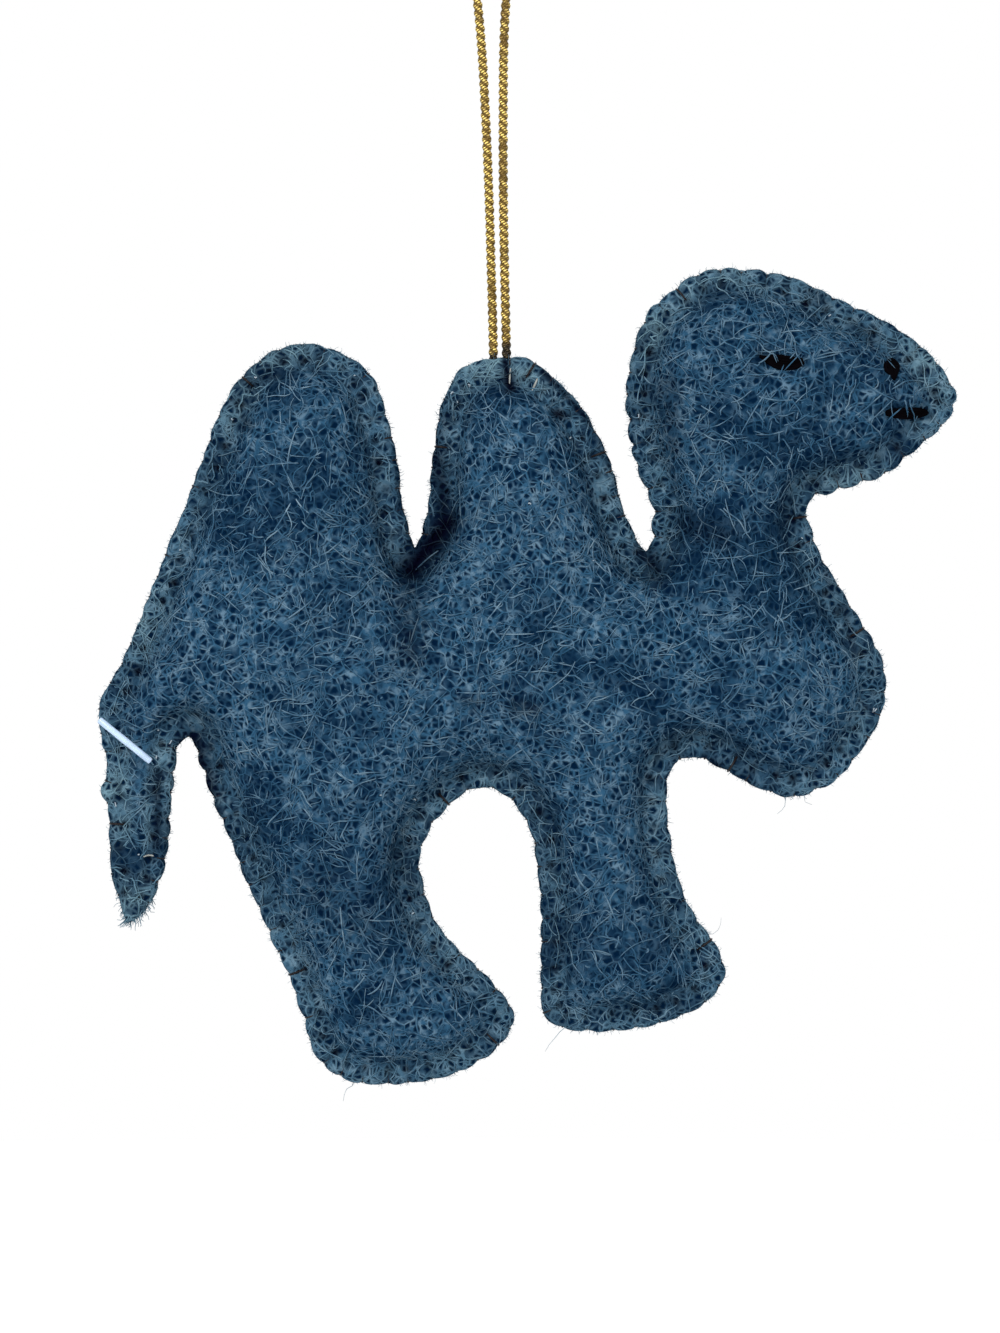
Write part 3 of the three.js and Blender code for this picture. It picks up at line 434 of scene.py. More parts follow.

# Single light fibres that catch the eye, each through two or three places in the photograph's pixels:
# those across the face stitches, the long ones on the front, and the ends of seam thread painted
# pale where it glints
FIGURE_PIXELS = ((98, 1085), (857, -817))  # the figure's lower left corner, and its length and height
FACE_FIBRE_PIXELS = [
    ((781, 374), (799, 355)), ((769, 353), (774, 366)), ((777, 378), (781, 368)),
    ((793, 355), (787, 362)), ((870, 421), (892, 400)), ((902, 401), (907, 414)),
    ((913, 425), (917, 415)), ((885, 361), (893, 370)), ((898, 381), (891, 388)),
]
LONG_FIBRE_PIXELS = [
    ((281, 408), (283, 430), (286, 449)), ((256, 468), (281, 466), (306, 465)),
    ((309, 463), (318, 457), (327, 453)), ((270, 542), (285, 519), (296, 499)),
    ((301, 430), (309, 423), (319, 420)), ((326, 372), (337, 382), (346, 396)),
    ((230, 554), (232, 569), (237, 585)), ((190, 570), (204, 570), (220, 567)),
    ((188, 568), (194, 553), (201, 539)), ((296, 498), (303, 508), (313, 517)),
    ((413, 573), (428, 559), (443, 548)), ((554, 426), (564, 458), (571, 494)),
    ((592, 532), (592, 560), (594, 586)), ((480, 630), (507, 596), (534, 563)),
    ((547, 626), (568, 617), (587, 606)), ((491, 634), (515, 635), (539, 634)),
    ((450, 692), (477, 693), (504, 692)), ((480, 721), (498, 719), (516, 720)),
    ((533, 663), (529, 671), (523, 679)), ((576, 716), (591, 727), (607, 736)),
    ((567, 734), (590, 733), (612, 734)), ((594, 605), (617, 601), (639, 595)),
    ((734, 444), (751, 414), (769, 386)), ((710, 381), (714, 396), (723, 409)),
    ((698, 333), (708, 320), (719, 310)), ((758, 302), (779, 308), (786, 326)),
    ((807, 333), (817, 332), (827, 333)), ((749, 437), (768, 437), (786, 432)),
    ((831, 383), (829, 401), (826, 419)), ((653, 506), (671, 507), (690, 504)),
    ((737, 562), (747, 557), (758, 558)), ((771, 554), (791, 553), (810, 550)),
    ((787, 592), (806, 586), (823, 577)), ((686, 614), (722, 615), (745, 601)),
    ((704, 611), (707, 640), (710, 665)), ((714, 640), (736, 640), (758, 636)),
    ((682, 747), (700, 723), (724, 707)), ((724, 707), (741, 710), (758, 709)),
    ((808, 663), (820, 682), (821, 712)), ((823, 716), (846, 712), (878, 711)),
    ((777, 774), (791, 771), (806, 765)), ((361, 845), (358, 864), (359, 883)),
    ((341, 896), (344, 930), (350, 963)), ((314, 1001), (330, 997), (345, 992)),
    ((446, 999), (464, 1018), (479, 1041)), ((356, 916), (380, 919), (403, 919)),
    ((352, 968), (364, 967), (376, 968)), ((334, 767), (345, 776), (359, 782)),
    ((300, 802), (309, 811), (316, 823)), ((365, 1055), (387, 1055), (410, 1057)),
    ((139, 782), (149, 784), (160, 784)), ((143, 804), (150, 805), (158, 804)),
]
THREAD_GLINT_PIXELS = [
    ((511, 367), (510, 376), (509.5, 386)), ((538, 378), (535, 385), (531.5, 393)),
    ((143, 857), (149, 855), (156, 856)),
]
SINGLE_LIFT = 0.03 * MM
SINGLE_RADII = {"face": 0.09 * MM, "long": 0.11 * MM, "thread": 0.15 * MM}
SINGLE_TINTS = {"face": 0.6, "long": 1}
# What share of the felt's dark blotches and painted shade the single fibres take on
SINGLE_DARK_AND_SHADE_SHARE = 0.5

# The hanging cord's middle line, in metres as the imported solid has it
CORD_ROUTE = [
    (0.00053, 0, -0.06), (0.00042, 0, -0.055), (0.00022, 0, -0.048), (0.00002, 0, -0.041),
    (-0.00025, 0, -0.034), (-0.00058, 0, -0.027), (-0.00098, 0, -0.02), (-0.0015, 0, -0.014),
    (-0.0022, 0, -0.009), (-0.0029, 0, -0.0054), (-0.0032, 0, -0.0025), (-0.00275, 0, -0.00085),
    (-0.0016, 0, 0.00025), (0, 0, 0.00065), (0.0016, 0, 0.00025), (0.00275, 0, -0.00085),
    (0.0032, 0, -0.0025), (0.00305, 0, -0.0054), (0.0026, 0, -0.009), (0.00215, 0, -0.014),
    (0.0019, 0, -0.02), (0.00184, 0, -0.027), (0.00183, 0, -0.034), (0.00188, 0, -0.041),
    (0.002, 0, -0.048), (0.00216, 0, -0.055), (0.00227, 0, -0.06),
]
SEWN_IN = 1.9 * MM  # how far the two strands run on into the felt
CORD_PLY_PITCH = 2.1 * MM
CORD_RING_STEP = 0.12 * MM
CORD_SIDES = 24
CORD_SAMPLES = 24
CORD_WAIST_SHARE = 0.55
# The foil is painted bright up the top of each ply and dark in the groove between plies: painted
# highlight and shade
CORD_PAINTED_RIDGE = (0.1, 0.75)  # from where to where up a ply the foil grows bright
CORD_MAP_REPEATS = (4, 2)  # of the foil's pattern, in each turn of the plies and round the cord
STRANDS_LEVEL = 1 * MM  # how nearly level the two strands' ends have to be
# The feet of the first and the last strand, dark with painted shade where they go into the felt: from
# where the cord bends, up to where each ends
CORD_FOOT_SHADE = (0.008, 0.006, 0.004)
CORD_SHADES = ((-0.3 * MM, 0.5 * MM), (0.8 * MM, 2 * MM))
CORD_SHADE_SHARE = 0.95

# The camera stands square to the front panel
CAMERA_DISTANCE = 0.9
FRAME_HEIGHT = 0.1773
FRAME_MIDDLE = (0.00141, -0.1016)
SENSOR_WIDTH = 36
NEAREST_SEEN = 0.05

# The lights: where each stands from the ornament's middle, and its size; and the floor
LIGHTS = {
    "key": ((-0.35, -0.75, 0.42), 0.55),
    "fill": ((0.6, -0.55, -0.05), 0.6),
    "back": ((0.1, 0.8, 0.3), 0.6),
}
AIR = (0.95, 0.975, 1, 1)
WHITE = (1, 1, 1, 1)
FLOOR_RADIUS = 0.55
FLOOR_SIDES = 96
FLOOR_RINGS = 8


def colour_setting(name, description, default):
    """A colour setting."""
    return bpy.props.FloatVectorProperty(
        name=name, description=description, default=default, subtype="COLOR", size=3, min=0, max=1)


def length_setting(name, description, default, low, high):
    """A length setting."""
    return bpy.props.FloatProperty(
        name=name, description=description, default=default, min=low, max=high,
        subtype="DISTANCE", unit="LENGTH")


def power_setting(name, description, default):
    """A light's power setting."""
    return bpy.props.FloatProperty(
        name=name, description=description, default=default, min=0, max=100, unit="POWER")


class FeltSettings(bpy.types.PropertyGroup):
    """The felt panels, the wool in them and the fibres on them."""

    colour: colour_setting("Felt", "Colour of the felt", (0.0225, 0.073, 0.133))
    # The pits between the matted fibres take this colour as painted shade, and the felt's darkest
    # blotches take it as their own colour
    dark: colour_setting("Blotches", "Colour of the felt's darkest blotches", (0.0008, 0.0085, 0.0265))
    # The colour of the painted shade in the notches, creases, stitch holes and the seam, and of the
    # darkest blotches
    deep: colour_setting("Notches", "Colour of the felt deep in the notches", (0.0012, 0.0012, 0.006))
    light: colour_setting("Fibres", "Colour of the light fibres", (0.165, 0.25, 0.315))
    # Partly the cut edge's own greyer colour and partly painted sheen along the rim
    rim: colour_setting("Rim", "Colour of the felt along its cut edge", (0.15, 0.255, 0.3))
    wool: colour_setting("Wool", "Colour of the stuffing", (0.72, 0.68, 0.6))
    thickness: length_setting(
        "Felt thickness", "Thickness of the felt away from the seam", 2.4 * MM, 1 * MM, 4 * MM)
    lip_thickness: length_setting(
        "Lip thickness", "Thickness of the felt where the seam squeezes it", 1.8 * MM, 1 * MM, 4 * MM)
    lip_width: length_setting(
        "Lip width", "From the cut edge to the crease where the stuffing begins",
        3.5 * MM, 2 * MM, 6 * MM)
    swell: length_setting(
        "Swell", "How far the wool lifts each panel at the thickest place", 8 * MM, 2 * MM, 12 * MM)
    fibres: bpy.props.IntProperty(
        name="Fibres a side", description="How many loose fibres lie on each panel",
        default=4200, min=0, max=12000)
    hairs: bpy.props.IntProperty(
        name="Hairs", description="How many fine hairs stand out past the cut edge",
        default=4400, min=0, max=8000)


class CordSettings(bpy.types.PropertyGroup):
    """The gold hanging cord."""

    bright: colour_setting("Foil", "Colour of the cord's bright foil", (0.98, 0.72, 0.2))
    # The core's colour also serves as painted shade in the grooves between the plies
    dark: colour_setting("Core", "Colour between the turns of foil", (0.13, 0.075, 0.012))
    diameter: length_setting("Diameter", "Across the cord's two plies", 1.3 * MM, 0.8 * MM, 2 * MM)


class ThreadSettings(bpy.types.PropertyGroup):
    """The whip-stitching and the face stitches."""

    seam: colour_setting("Seam thread", "Colour of the whip-stitching", (0.011, 0.0085, 0.009))
    face: colour_setting("Face thread", "Colour of the face stitches", (0.0011, 0.0007, 0.0013))
    diameter: length_setting(
        "Seam thread diameter", "Thickness of the whip-stitching thread",
        0.3 * MM, 0.2 * MM, 0.8 * MM)
    pitch: length_setting(
        "Stitch pitch", "Along the edge from one stitch to the next", 3.2 * MM, 2 * MM, 6 * MM)
    face_diameter: length_setting(
        "Face thread diameter", "Thickness of one strand of a face stitch",
        0.5 * MM, 0.3 * MM, 1 * MM)


class TagSettings(bpy.types.PropertyGroup):
    """The plastic tag fastener."""

    colour: colour_setting("Plastic", "Colour of the fastener", (0.46, 0.59, 0.77))
    bar_length: length_setting("Bar length", "Length of the bar in front", 8.8 * MM, 4 * MM, 12 * MM)
    bar_diameter: length_setting(
        "Bar diameter", "Thickness of the bar in front", 0.9 * MM, 0.5 * MM, 2 * MM)


class StageSettings(bpy.types.PropertyGroup):
    """The floor and the light."""

    floor: colour_setting("Floor", "Colour of the floor", (0.9, 0.91, 0.92))
    drop: length_setting("Drop", "From the feet down to the floor", 45 * MM, 0, 0.5)
    key: power_setting("Key light", "Power of the main light", 7.5)
    fill: power_setting("Fill light", "Power of the light on the other side", 2.2)
    back: power_setting("Back light", "Power of the light behind the ornament", 5)
    ambient: bpy.props.FloatProperty(
        name="Ambient", description="Brightness of the light from all round",
        default=0.62, min=0, max=3)


# Curves

def smooth_curve(points, samples, closed):
    """A smooth curve through points. Between each two it is a cubic whose end slopes weigh the
    neighbouring spans by the square roots of their lengths, so that it neither loops nor overshoots."""
    points = np.asarray(points, float)
    if closed:
        ring = np.concatenate([points[-1:], points, points[:2]])
    else:
        ring = np.concatenate([2 * points[:1] - points[1:2], points, 2 * points[-1:] - points[-2:-1]])
    p0, p1, p2, p3 = ring[:-3], ring[1:-2], ring[2:-1], ring[3:]
    d0, d1, d2 = (
        np.sqrt(np.linalg.norm(b - a, axis=1))[:, None] for a, b in ((p0, p1), (p1, p2), (p2, p3)))
    leave = ((p1 - p0) / d0 - (p2 - p0) / (d0 + d1) + (p2 - p1) / d1) * d1
    arrive = ((p2 - p1) / d1 - (p3 - p1) / (d1 + d2) + (p3 - p2) / d2) * d1
    t = np.linspace(0, 1, samples, endpoint=False)[None, :, None]
    curve = (
        (2 * t**3 - 3 * t**2 + 1) * p1[:, None]
        + (t**3 - 2 * t**2 + t) * leave[:, None]
        + (3 * t**2 - 2 * t**3) * p2[:, None]
        + (t**3 - t**2) * arrive[:, None]
    ).reshape(-1, points.shape[1])
    return np.concatenate([curve, ring[-2:-1]])


def lengths_along(curve):
    """The length of the curve up to each of its points."""
    return np.concatenate([[0], np.cumsum(np.linalg.norm(np.diff(curve, axis=0), axis=1))])


def sample_at(curve, lengths, stations):
    """The curve's points at the given lengths along it."""
    return np.stack([np.interp(stations, lengths, column) for column in curve.T], axis=1)


def unit(vectors):
    """The vectors, each at a length of one."""
    return vectors / np.linalg.norm(vectors, axis=1)[:, None]


def sideways(headings):
    """Flat headings turned a quarter to their left."""
    return np.stack([-headings[:, 1], headings[:, 0]], axis=1)


def angles_round(sides):
    """Even angles round a circle."""
    return np.arange(sides) * 2 * math.pi / sides


def smoothstep(low, high, value):
    """0 below low, 1 above high, and an S-shaped cubic between."""
    t = np.clip((value - low) / (high - low), 0, 1)
    return t * t * (3 - 2 * t)


def bell(distance, width):
    """1 at no distance, falling off as the bell curve of the given width."""
    return np.exp(-((distance / width) ** 2))


def value_noise(spots, cell, seed):
    """Smooth noise from -1 to 1: random values at the corners of a square lattice, each place taking
    the blend of the four corners round it."""
    size = NOISE_LATTICE
    lattice = np.random.default_rng(seed).uniform(-1, 1, (size, size))
    scaled = spots / cell
    base = np.floor(scaled).astype(int)
    part = scaled - base
    part = part * part * (3 - 2 * part)
    i, j = base[:, 0] % size, base[:, 1] % size
    near, far = (i + 1) % size, (j + 1) % size
    low = lattice[i, j] * (1 - part[:, 0]) + lattice[near, j] * part[:, 0]
    high = lattice[i, far] * (1 - part[:, 0]) + lattice[near, far] * part[:, 0]
    return low * (1 - part[:, 1]) + high * part[:, 1]


def layered_noise(spots, layers, seed):
    """The sum of smooth noises, each with its own cell size and height."""
    return sum(height * value_noise(spots, cell, seed + n) for n, (cell, height) in enumerate(layers))


def nearest(spots, marks):
    """For each spot, the index of the nearest mark and its distance."""
    size = (marks**2).sum(axis=1)
    found = np.empty(len(spots), int)
    for start in range(0, len(spots), MOST_AT_ONCE):
        some = slice(start, start + MOST_AT_ONCE)
        found[some] = np.argmin(size - 2 * spots[some] @ marks.T, axis=1)
    return found, np.linalg.norm(spots - marks[found], axis=1)


def within(spots, ring):
    """Whether each spot lies inside the closed ring: a level line from it crosses the ring an odd
    number of times."""
    ends = np.roll(ring, -1, axis=0)
    above = ring[:, 1] > spots[:, 1:]
    crosses = above != (ends[:, 1] > spots[:, 1:])
    rise = np.where(ends[:, 1] == ring[:, 1], 1, ends[:, 1] - ring[:, 1])
    meets = ring[:, 0] + (spots[:, 1:] - ring[:, 1]) * (ends[:, 0] - ring[:, 0]) / rise
    return (crosses & (spots[:, :1] < meets)).sum(axis=1) % 2 == 1


def to_segments(spots, starts, ends):
    """The distance from each spot to the nearest of the straight segments."""
    along = ends - starts
    square = (along**2).sum(axis=1)
    away = np.empty(len(spots))
    for start in range(0, len(spots), MOST_AT_ONCE):
        some = slice(start, start + MOST_AT_ONCE)
        part = spots[some, None] - starts
        share = np.clip((part * along).sum(axis=2) / square, 0, 1)
        away[some] = np.linalg.norm(part - share[..., None] * along, axis=2).min(axis=1)
    return away


# The figure

CORNER = np.array([
    SWING_AT[0] - CORD_EXIT_SHARE[0] * FIGURE_LENGTH,
    SWING_AT[2] - STRAND_TO_RIM - CORD_EXIT_SHARE[1] * FIGURE_HEIGHT,
])


def place(shares):
    """Shares of the figure's length and height as flat points, x and z."""
    return CORNER + np.asarray(shares, float) * (FIGURE_LENGTH, FIGURE_HEIGHT)


def seen(pixels):
    """Places in the photograph's pixels as flat points, x and z."""
    corner, span = FIGURE_PIXELS
    return place((np.asarray(pixels, float) - corner) / span)


def in_space(spots, heights):
    """Flat points, x and z, with their heights along Y as points in space."""
    return np.stack([spots[..., 0], heights, spots[..., 1]], axis=-1)


class Figure:
    """The outline, its stitches, and the height of the felt over any place, worked out once."""

    def __init__(self, felt, threads):
        self.felt = felt
        self.rim_middle = SEAM_HALF_GAP + RIM_MIDDLE_SHARE * felt.lip_thickness
        self.trace_edge()
        self.place_stitches(threads.pitch)
        self.cut_edge()
        self.lift_felt()
        lines = [
            smooth_curve(place(feature["shares"]), DENT_SAMPLES, False)
            for feature in FEATURES.values()]
        self.face_starts = np.concatenate([line[:-1] for line in lines])
        self.face_ends = np.concatenate([line[1:] for line in lines])
        self.tag_hole = np.array(TAG_AT)[[0, 2]]

    def trace_edge(self):
        """The outline at even steps, with its outward side, the width of the felt straight in from
        each place, and the width of the lip there."""
        corners = [p for shares in OUTLINE_SHARES.values() for p in shares]
        curve = smooth_curve(place(corners), CURVE_SAMPLES, True)
        self.curve, self.lengths = curve, lengths_along(curve)
        count = round(self.lengths[-1] / EDGE_STEP)
        self.stations = np.linspace(0, self.lengths[-1], count, endpoint=False)
        self.edge = sample_at(curve, self.lengths, self.stations)
        self.heading = unit(np.roll(self.edge, -1, axis=0) - np.roll(self.edge, 1, axis=0))
        self.out = sideways(self.heading)
        wall = np.roll(self.edge, -1, axis=0) - self.edge
        self.width = np.full(count, FIGURE_LENGTH)
        for start in range(0, count, MOST_WALLS_AT_ONCE):
            some = slice(start, start + MOST_WALLS_AT_ONCE)
            inward = -self.out[some, None]
            to_wall = self.edge[None] - self.edge[some, None]
            turn = inward[..., 0] * wall[:, 1] - inward[..., 1] * wall[:, 0]
            turn = np.where(np.abs(turn) < TINY, TINY, turn)
            far = (to_wall[..., 0] * wall[:, 1] - to_wall[..., 1] * wall[:, 0]) / turn
            share = (to_wall[..., 0] * inward[..., 1] - to_wall[..., 1] * inward[..., 0]) / turn
            met = (far > NEAREST_WALL) & (share >= 0) & (share <= 1)
            self.width[some] = np.where(met, far, FIGURE_LENGTH).min(axis=1)
        lip = np.minimum(self.felt.lip_width, self.width * LIP_WIDTH_SHARE)
        shifts = range(-LIP_EVENING, LIP_EVENING + 1)
        self.lip = sum(np.roll(lip, shift) for shift in shifts) / len(shifts)

    def at_station(self, stations, values):
        """Values of the edge read at other stations along it."""
        whole = np.append(self.stations, self.lengths[-1])
        closed = np.concatenate([values, values[:1]])
        stations = stations % self.lengths[-1]
        if values.ndim == 1:
            return np.interp(stations, whole, closed)
        return sample_at(closed, whole, stations)

    def place_stitches(self, pitch):
        """Each run's stitches at an even pitch, a little uneven as a hand sews them."""
        random = np.random.default_rng(STITCH_SEED)
        self.stitches = {}
        first = 0
        for name, shares in OUTLINE_SHARES.items():
            before, after = RUNS[name]["margins"]
            start = self.lengths[first * CURVE_SAMPLES] + before
            first += len(shares)
            end = self.lengths[first * CURVE_SAMPLES] - after
            count = round((end - start) / pitch) + 1
            stations = np.linspace(start, end, count)
            stray = random.uniform(-STITCH_STRAY_SHARE, STITCH_STRAY_SHARE, count - 2)
            stations[1:-1] += stray * pitch
            out = unit(self.at_station(stations, self.out))
            width = self.at_station(stations, self.width)
            inset = np.minimum(NEEDLE_INSET, width * NEEDLE_INSET_SHARE)
            inset *= random.uniform(*INSET_UNEVEN, count)
            pull = np.minimum(RUNS[name]["pull"], width * PULL_SHARE)
            pull *= random.uniform(*PULL_UNEVEN, count)
            at = sample_at(self.curve, self.lengths, stations)
            from_even = np.linalg.norm(at - place(EVEN_EDGE_SHARE), axis=1)
            pull *= 1 - EVEN_EDGE_STRENGTH * bell(from_even, EVEN_EDGE_REACH)
            self.stitches[name] = {
                "stations": stations, "out": out, "pull": pull,
                "hole": at - out * inset[:, None],
            }
        self.all_stitches = {
            key: np.concatenate([run[key] for run in self.stitches.values()])
            for key in ("stations", "out", "pull", "hole")
        }

    def cut_edge(self):
        """The edge as it is cut and sewn: drawn in at each stitch, with a round lobe between two, a
        little uneven, and parted round the cord's two strands. Between stitches the pull fades as a
        flattened arch of the way along."""
        stations, pull = self.all_stitches["stations"], self.all_stitches["pull"]
        order = np.argsort(stations)
        stations, pull = stations[order], pull[order]
        whole = self.lengths[-1]
        later = np.searchsorted(stations, self.stations) % len(stations)
        earlier = later - 1
        gap = (stations[later] - stations[earlier]) % whole
        way = ((self.stations - stations[earlier]) % whole) / gap
        depth = pull[earlier] * (1 - way) + pull[later] * way
        lobe = np.sin(math.pi * np.clip(way, 0, 1)) ** LOBE_FLATNESS
        wander = layered_noise(self.edge, EDGE_WANDER, EDGE_SEED)
        feet = np.array([(CORD_ROUTE[i][0], self.edge[:, 1].max()) for i in (0, -1)])
        feet[:, 1] = CORNER[1] + CORD_EXIT_SHARE[1] * FIGURE_HEIGHT
        parted = bell(nearest(self.edge, feet)[1], CORD_NOTCH_WIDTH) * CORD_NOTCH_DEPTH
        drawn = depth * (lobe - 1) * (1 + LOBE_REACH_SHARE) + LOBE_REACH_SHARE * depth
        reach = drawn + wander - parted
        self.cut = self.edge + self.out * reach[:, None]
        for run in self.stitches.values():
            run["rim"] = self.at_station(run["stations"], self.cut)
        self.all_stitches["rim"] = np.concatenate([run["rim"] for run in self.stitches.values()])

    def lift_felt(self):
        """The swell: a sheet held down along the crease and lifted evenly, which levels off where it
        is wide. Each place takes the mean of its four neighbours plus a share of the lift, again and
        again until it settles. With it on the same grid go the depth inside the edge and the lip."""
        columns = int(FIGURE_LENGTH / GRID_STEP) + 2 * GRID_MARGIN + 1
        rows = int(FIGURE_HEIGHT / GRID_STEP) + 2 * GRID_MARGIN + 1
        self.grid_corner = CORNER - GRID_MARGIN * GRID_STEP
        x, z = np.meshgrid(np.arange(columns), np.arange(rows), indexing="ij")
        spots = self.grid_corner + GRID_STEP * np.stack([x.ravel(), z.ravel()], axis=1)
        found, away = nearest(spots, self.edge)
        step_in = ((self.edge[found] - spots) * self.out[found]).sum(axis=1)
        self.grid_depth = np.where(step_in > 0, away, -away).reshape(columns, rows)
        self.grid_lip = self.lip[found].reshape(columns, rows)
        free = self.grid_depth > self.grid_lip
        lift = np.zeros((columns, rows))
        stiffness = 4 + (GRID_STEP / SWELL_SPREAD) ** 2
        for _ in range(LIFT_SWEEPS):
            around = lift[:-2, 1:-1] + lift[2:, 1:-1] + lift[1:-1, :-2] + lift[1:-1, 2:]
            lift[1:-1, 1:-1] = np.where(free[1:-1, 1:-1], (around + GRID_STEP**2) / stiffness, 0)
        self.grid_lift = lift / lift.max()

    def read(self, grid, spots):
        """A value of the grid at each spot, blended between the four grid points round it."""
        scaled = (spots - self.grid_corner) / GRID_STEP
        scaled = np.clip(scaled, 0, np.array(grid.shape) - GRID_FAR_SIDE)
        base = scaled.astype(int)
        part = scaled - base
        i, j = base.T
        low = grid[i, j] * (1 - part[:, 0]) + grid[i + 1, j] * part[:, 0]
        high = grid[i, j + 1] * (1 - part[:, 0]) + grid[i + 1, j + 1] * part[:, 0]
        return low * (1 - part[:, 1]) + high * part[:, 1]

    def swell(self, spots):
        """How far the wool lifts the felt: the square root of the settled sheet, softened at the
        crease, times the full swell."""
        lift = self.read(self.grid_lift, spots)
        start = math.sqrt(SWELL_SOFTNESS)
        return self.felt.swell * (np.sqrt(lift + SWELL_SOFTNESS) - start) / (
            math.sqrt(1 + SWELL_SOFTNESS) - start)

    def from_face(self, spots):
        """The distance from each spot to the nearest face stitch's middle line."""
        return to_segments(spots, self.face_starts, self.face_ends)

    def marks(self, spots):
        """How strongly each place is marked, from 0 to 1, by a stitch's groove, by a needle hole, by
        the crease and by the face stitches: each a bell round the nearest such line or point."""
        groove, hole = np.zeros(len(spots)), np.zeros(len(spots))
        rim_side = self.read(self.grid_depth, spots) < MARKED_RIM
        near_rim = spots[rim_side]
        stitches = self.all_stitches
        groove[rim_side] = bell(to_segments(near_rim, stitches["rim"], stitches["hole"]), GROOVE_WIDTH)
        hole[rim_side] = bell(nearest(near_rim, stitches["hole"])[1], HOLE_WIDTH)
        depth = self.read(self.grid_depth, spots) - self.read(self.grid_lip, spots)
        crease = bell(depth + CREASE_SHIFT, CREASE_WIDTH)
        face = bell(self.from_face(spots), FACE_DENT_WIDTH)
        tag = bell(np.linalg.norm(spots - self.tag_hole, axis=1), HOLE_WIDTH)
        return groove, np.maximum(hole, tag), crease, face

    def outer(self, spots, side, marks=None):
        """The height of the felt's outer face over the seam plane: the swell and the felt's own
        thickness, plus its relief, less what the stitches press in."""
        swell = self.swell(spots)
        full = np.minimum(1, swell / self.felt.thickness)
        thick = self.felt.lip_thickness + (self.felt.thickness - self.felt.lip_thickness) * full
        marks = self.marks(spots) if marks is None else marks
        relief = layered_noise(spots, RELIEF, RELIEF_SEEDS[side])
        pressed = sum(mark * depth for mark, depth in zip(marks, MARK_DEPTHS))
        return SEAM_HALF_GAP + swell + thick + relief - pressed

    def inner(self, spots, side):
        """The height of the felt's inner face over the seam plane: the swell, and a little noise that
        moves both panels the same way, so that they meet along a wavy seam with no light through it."""
        wander = layered_noise(spots, SEAM_WANDER, SEAM_SEED)
        return SEAM_HALF_GAP + self.swell(spots) + side * wander

    def tones(self, spots):
        """How dark and how pale each place is, from 0 to 1. Dark is the strongest of the bells round
        the dark lines: partly the felt's own blotches and partly painted shade. Pale is a band along the
        cut edge, times a little everywhere plus the strongest of the bells round the pale places: partly
        the rim's own greyer colour and partly painted sheen."""
        dark = np.zeros(len(spots))
        for start, end, width, strength in DARK_BLOTCH_AND_SHADE_LINES:
            away = to_segments(spots, place([start]), place([end]))
            dark = np.maximum(dark, strength * bell(away, width))
        near = np.zeros(len(spots))
        for middle, reach, strength in PALE_AND_SHEEN_PLACES:
            near = np.maximum(near, strength * bell(np.linalg.norm(spots - place(middle), axis=1), reach))
        band = 1 - smoothstep(*PALE_AND_SHEEN_BAND, self.read(self.grid_depth, spots))
        return dark, band * np.minimum(1, EVERYWHERE_PALE_AND_SHEEN + near) * (1 - dark)

    def settle(self, spots, side):
        """Where fibres that are drawn flat come to lie. Within a round's reach of the cut edge, and
        past it, a point moves over the round of the edge by as much as it lies further out, and then
        down the side of the felt. Returns the places and the heights."""
        flat = spots.reshape(-1, 2)
        found, away = nearest(flat, self.cut)
        out = self.out[found]
        past = ((flat - self.cut[found]) * out).sum(axis=1) > 0
        travel = RIM_OUTER_ROUND - np.where(past, -away, away)
        angle = math.pi / 2 - np.clip(travel / RIM_OUTER_ROUND, 0, math.pi / 2)
        over = self.cut[found] - out * (RIM_OUTER_ROUND * (1 - np.cos(angle)))[:, None]
        flat = np.where((travel > 0)[:, None], over, flat)
        height = self.rim_middle + (self.outer(flat, side) - self.rim_middle) * np.sin(angle)
        down = np.maximum(0, travel - RIM_OUTER_ROUND * math.pi / 2)
        height = np.maximum(height - down, SEAM_HALF_GAP)
        return flat.reshape(spots.shape), height.reshape(spots.shape[:-1])

    def rounded(self, spots, heights, reach):
        """A face's heights rounded over towards the cut edge, as a quarter of an ellipse of this reach
        that ends at a height within the lip."""
        away = nearest(spots, self.cut)[1]
        share = np.sqrt(1 - (1 - np.clip(away / reach, 0, 1)) ** 2)
        return self.rim_middle + (heights - self.rim_middle) * share


_made = {}


def figure():
    """The figure, worked out at the first call."""
    if "figure" not in _made:
        scene = bpy.context.scene
        _made["figure"] = Figure(scene.ornament_felt, scene.ornament_threads)
    return _made["figure"]


# Meshes

def new_piece(name, vertices, faces, material):
    """A mesh object at the origin from an array of vertices and one of triangles or quads."""
    mesh = bpy.data.meshes.new(name)
    faces = np.asarray(faces)
    mesh.vertices.add(len(vertices))
    mesh.vertices.foreach_set("co", np.asarray(vertices, np.float32).ravel())
    mesh.loops.add(faces.size)
    mesh.loops.foreach_set("vertex_index", faces.ravel().astype(np.int32))
    mesh.polygons.add(len(faces))
    mesh.polygons.foreach_set("loop_start", np.arange(0, faces.size, faces.shape[1], dtype=np.int32))
    mesh.update(calc_edges=True)
    mesh.validate()
    mesh.polygons.foreach_set("use_smooth", np.ones(len(mesh.polygons), bool))
    mesh.materials.append(material)
    piece = bpy.data.objects.new(name, mesh)
    bpy.context.scene.collection.objects.link(piece)
    return piece


def add_values(piece, name, values):
    """One value for each vertex, which a material reads by its name."""
    attribute = piece.data.attributes.new(name, "FLOAT", "POINT")
    attribute.data.foreach_set("value", np.asarray(values, np.float32))


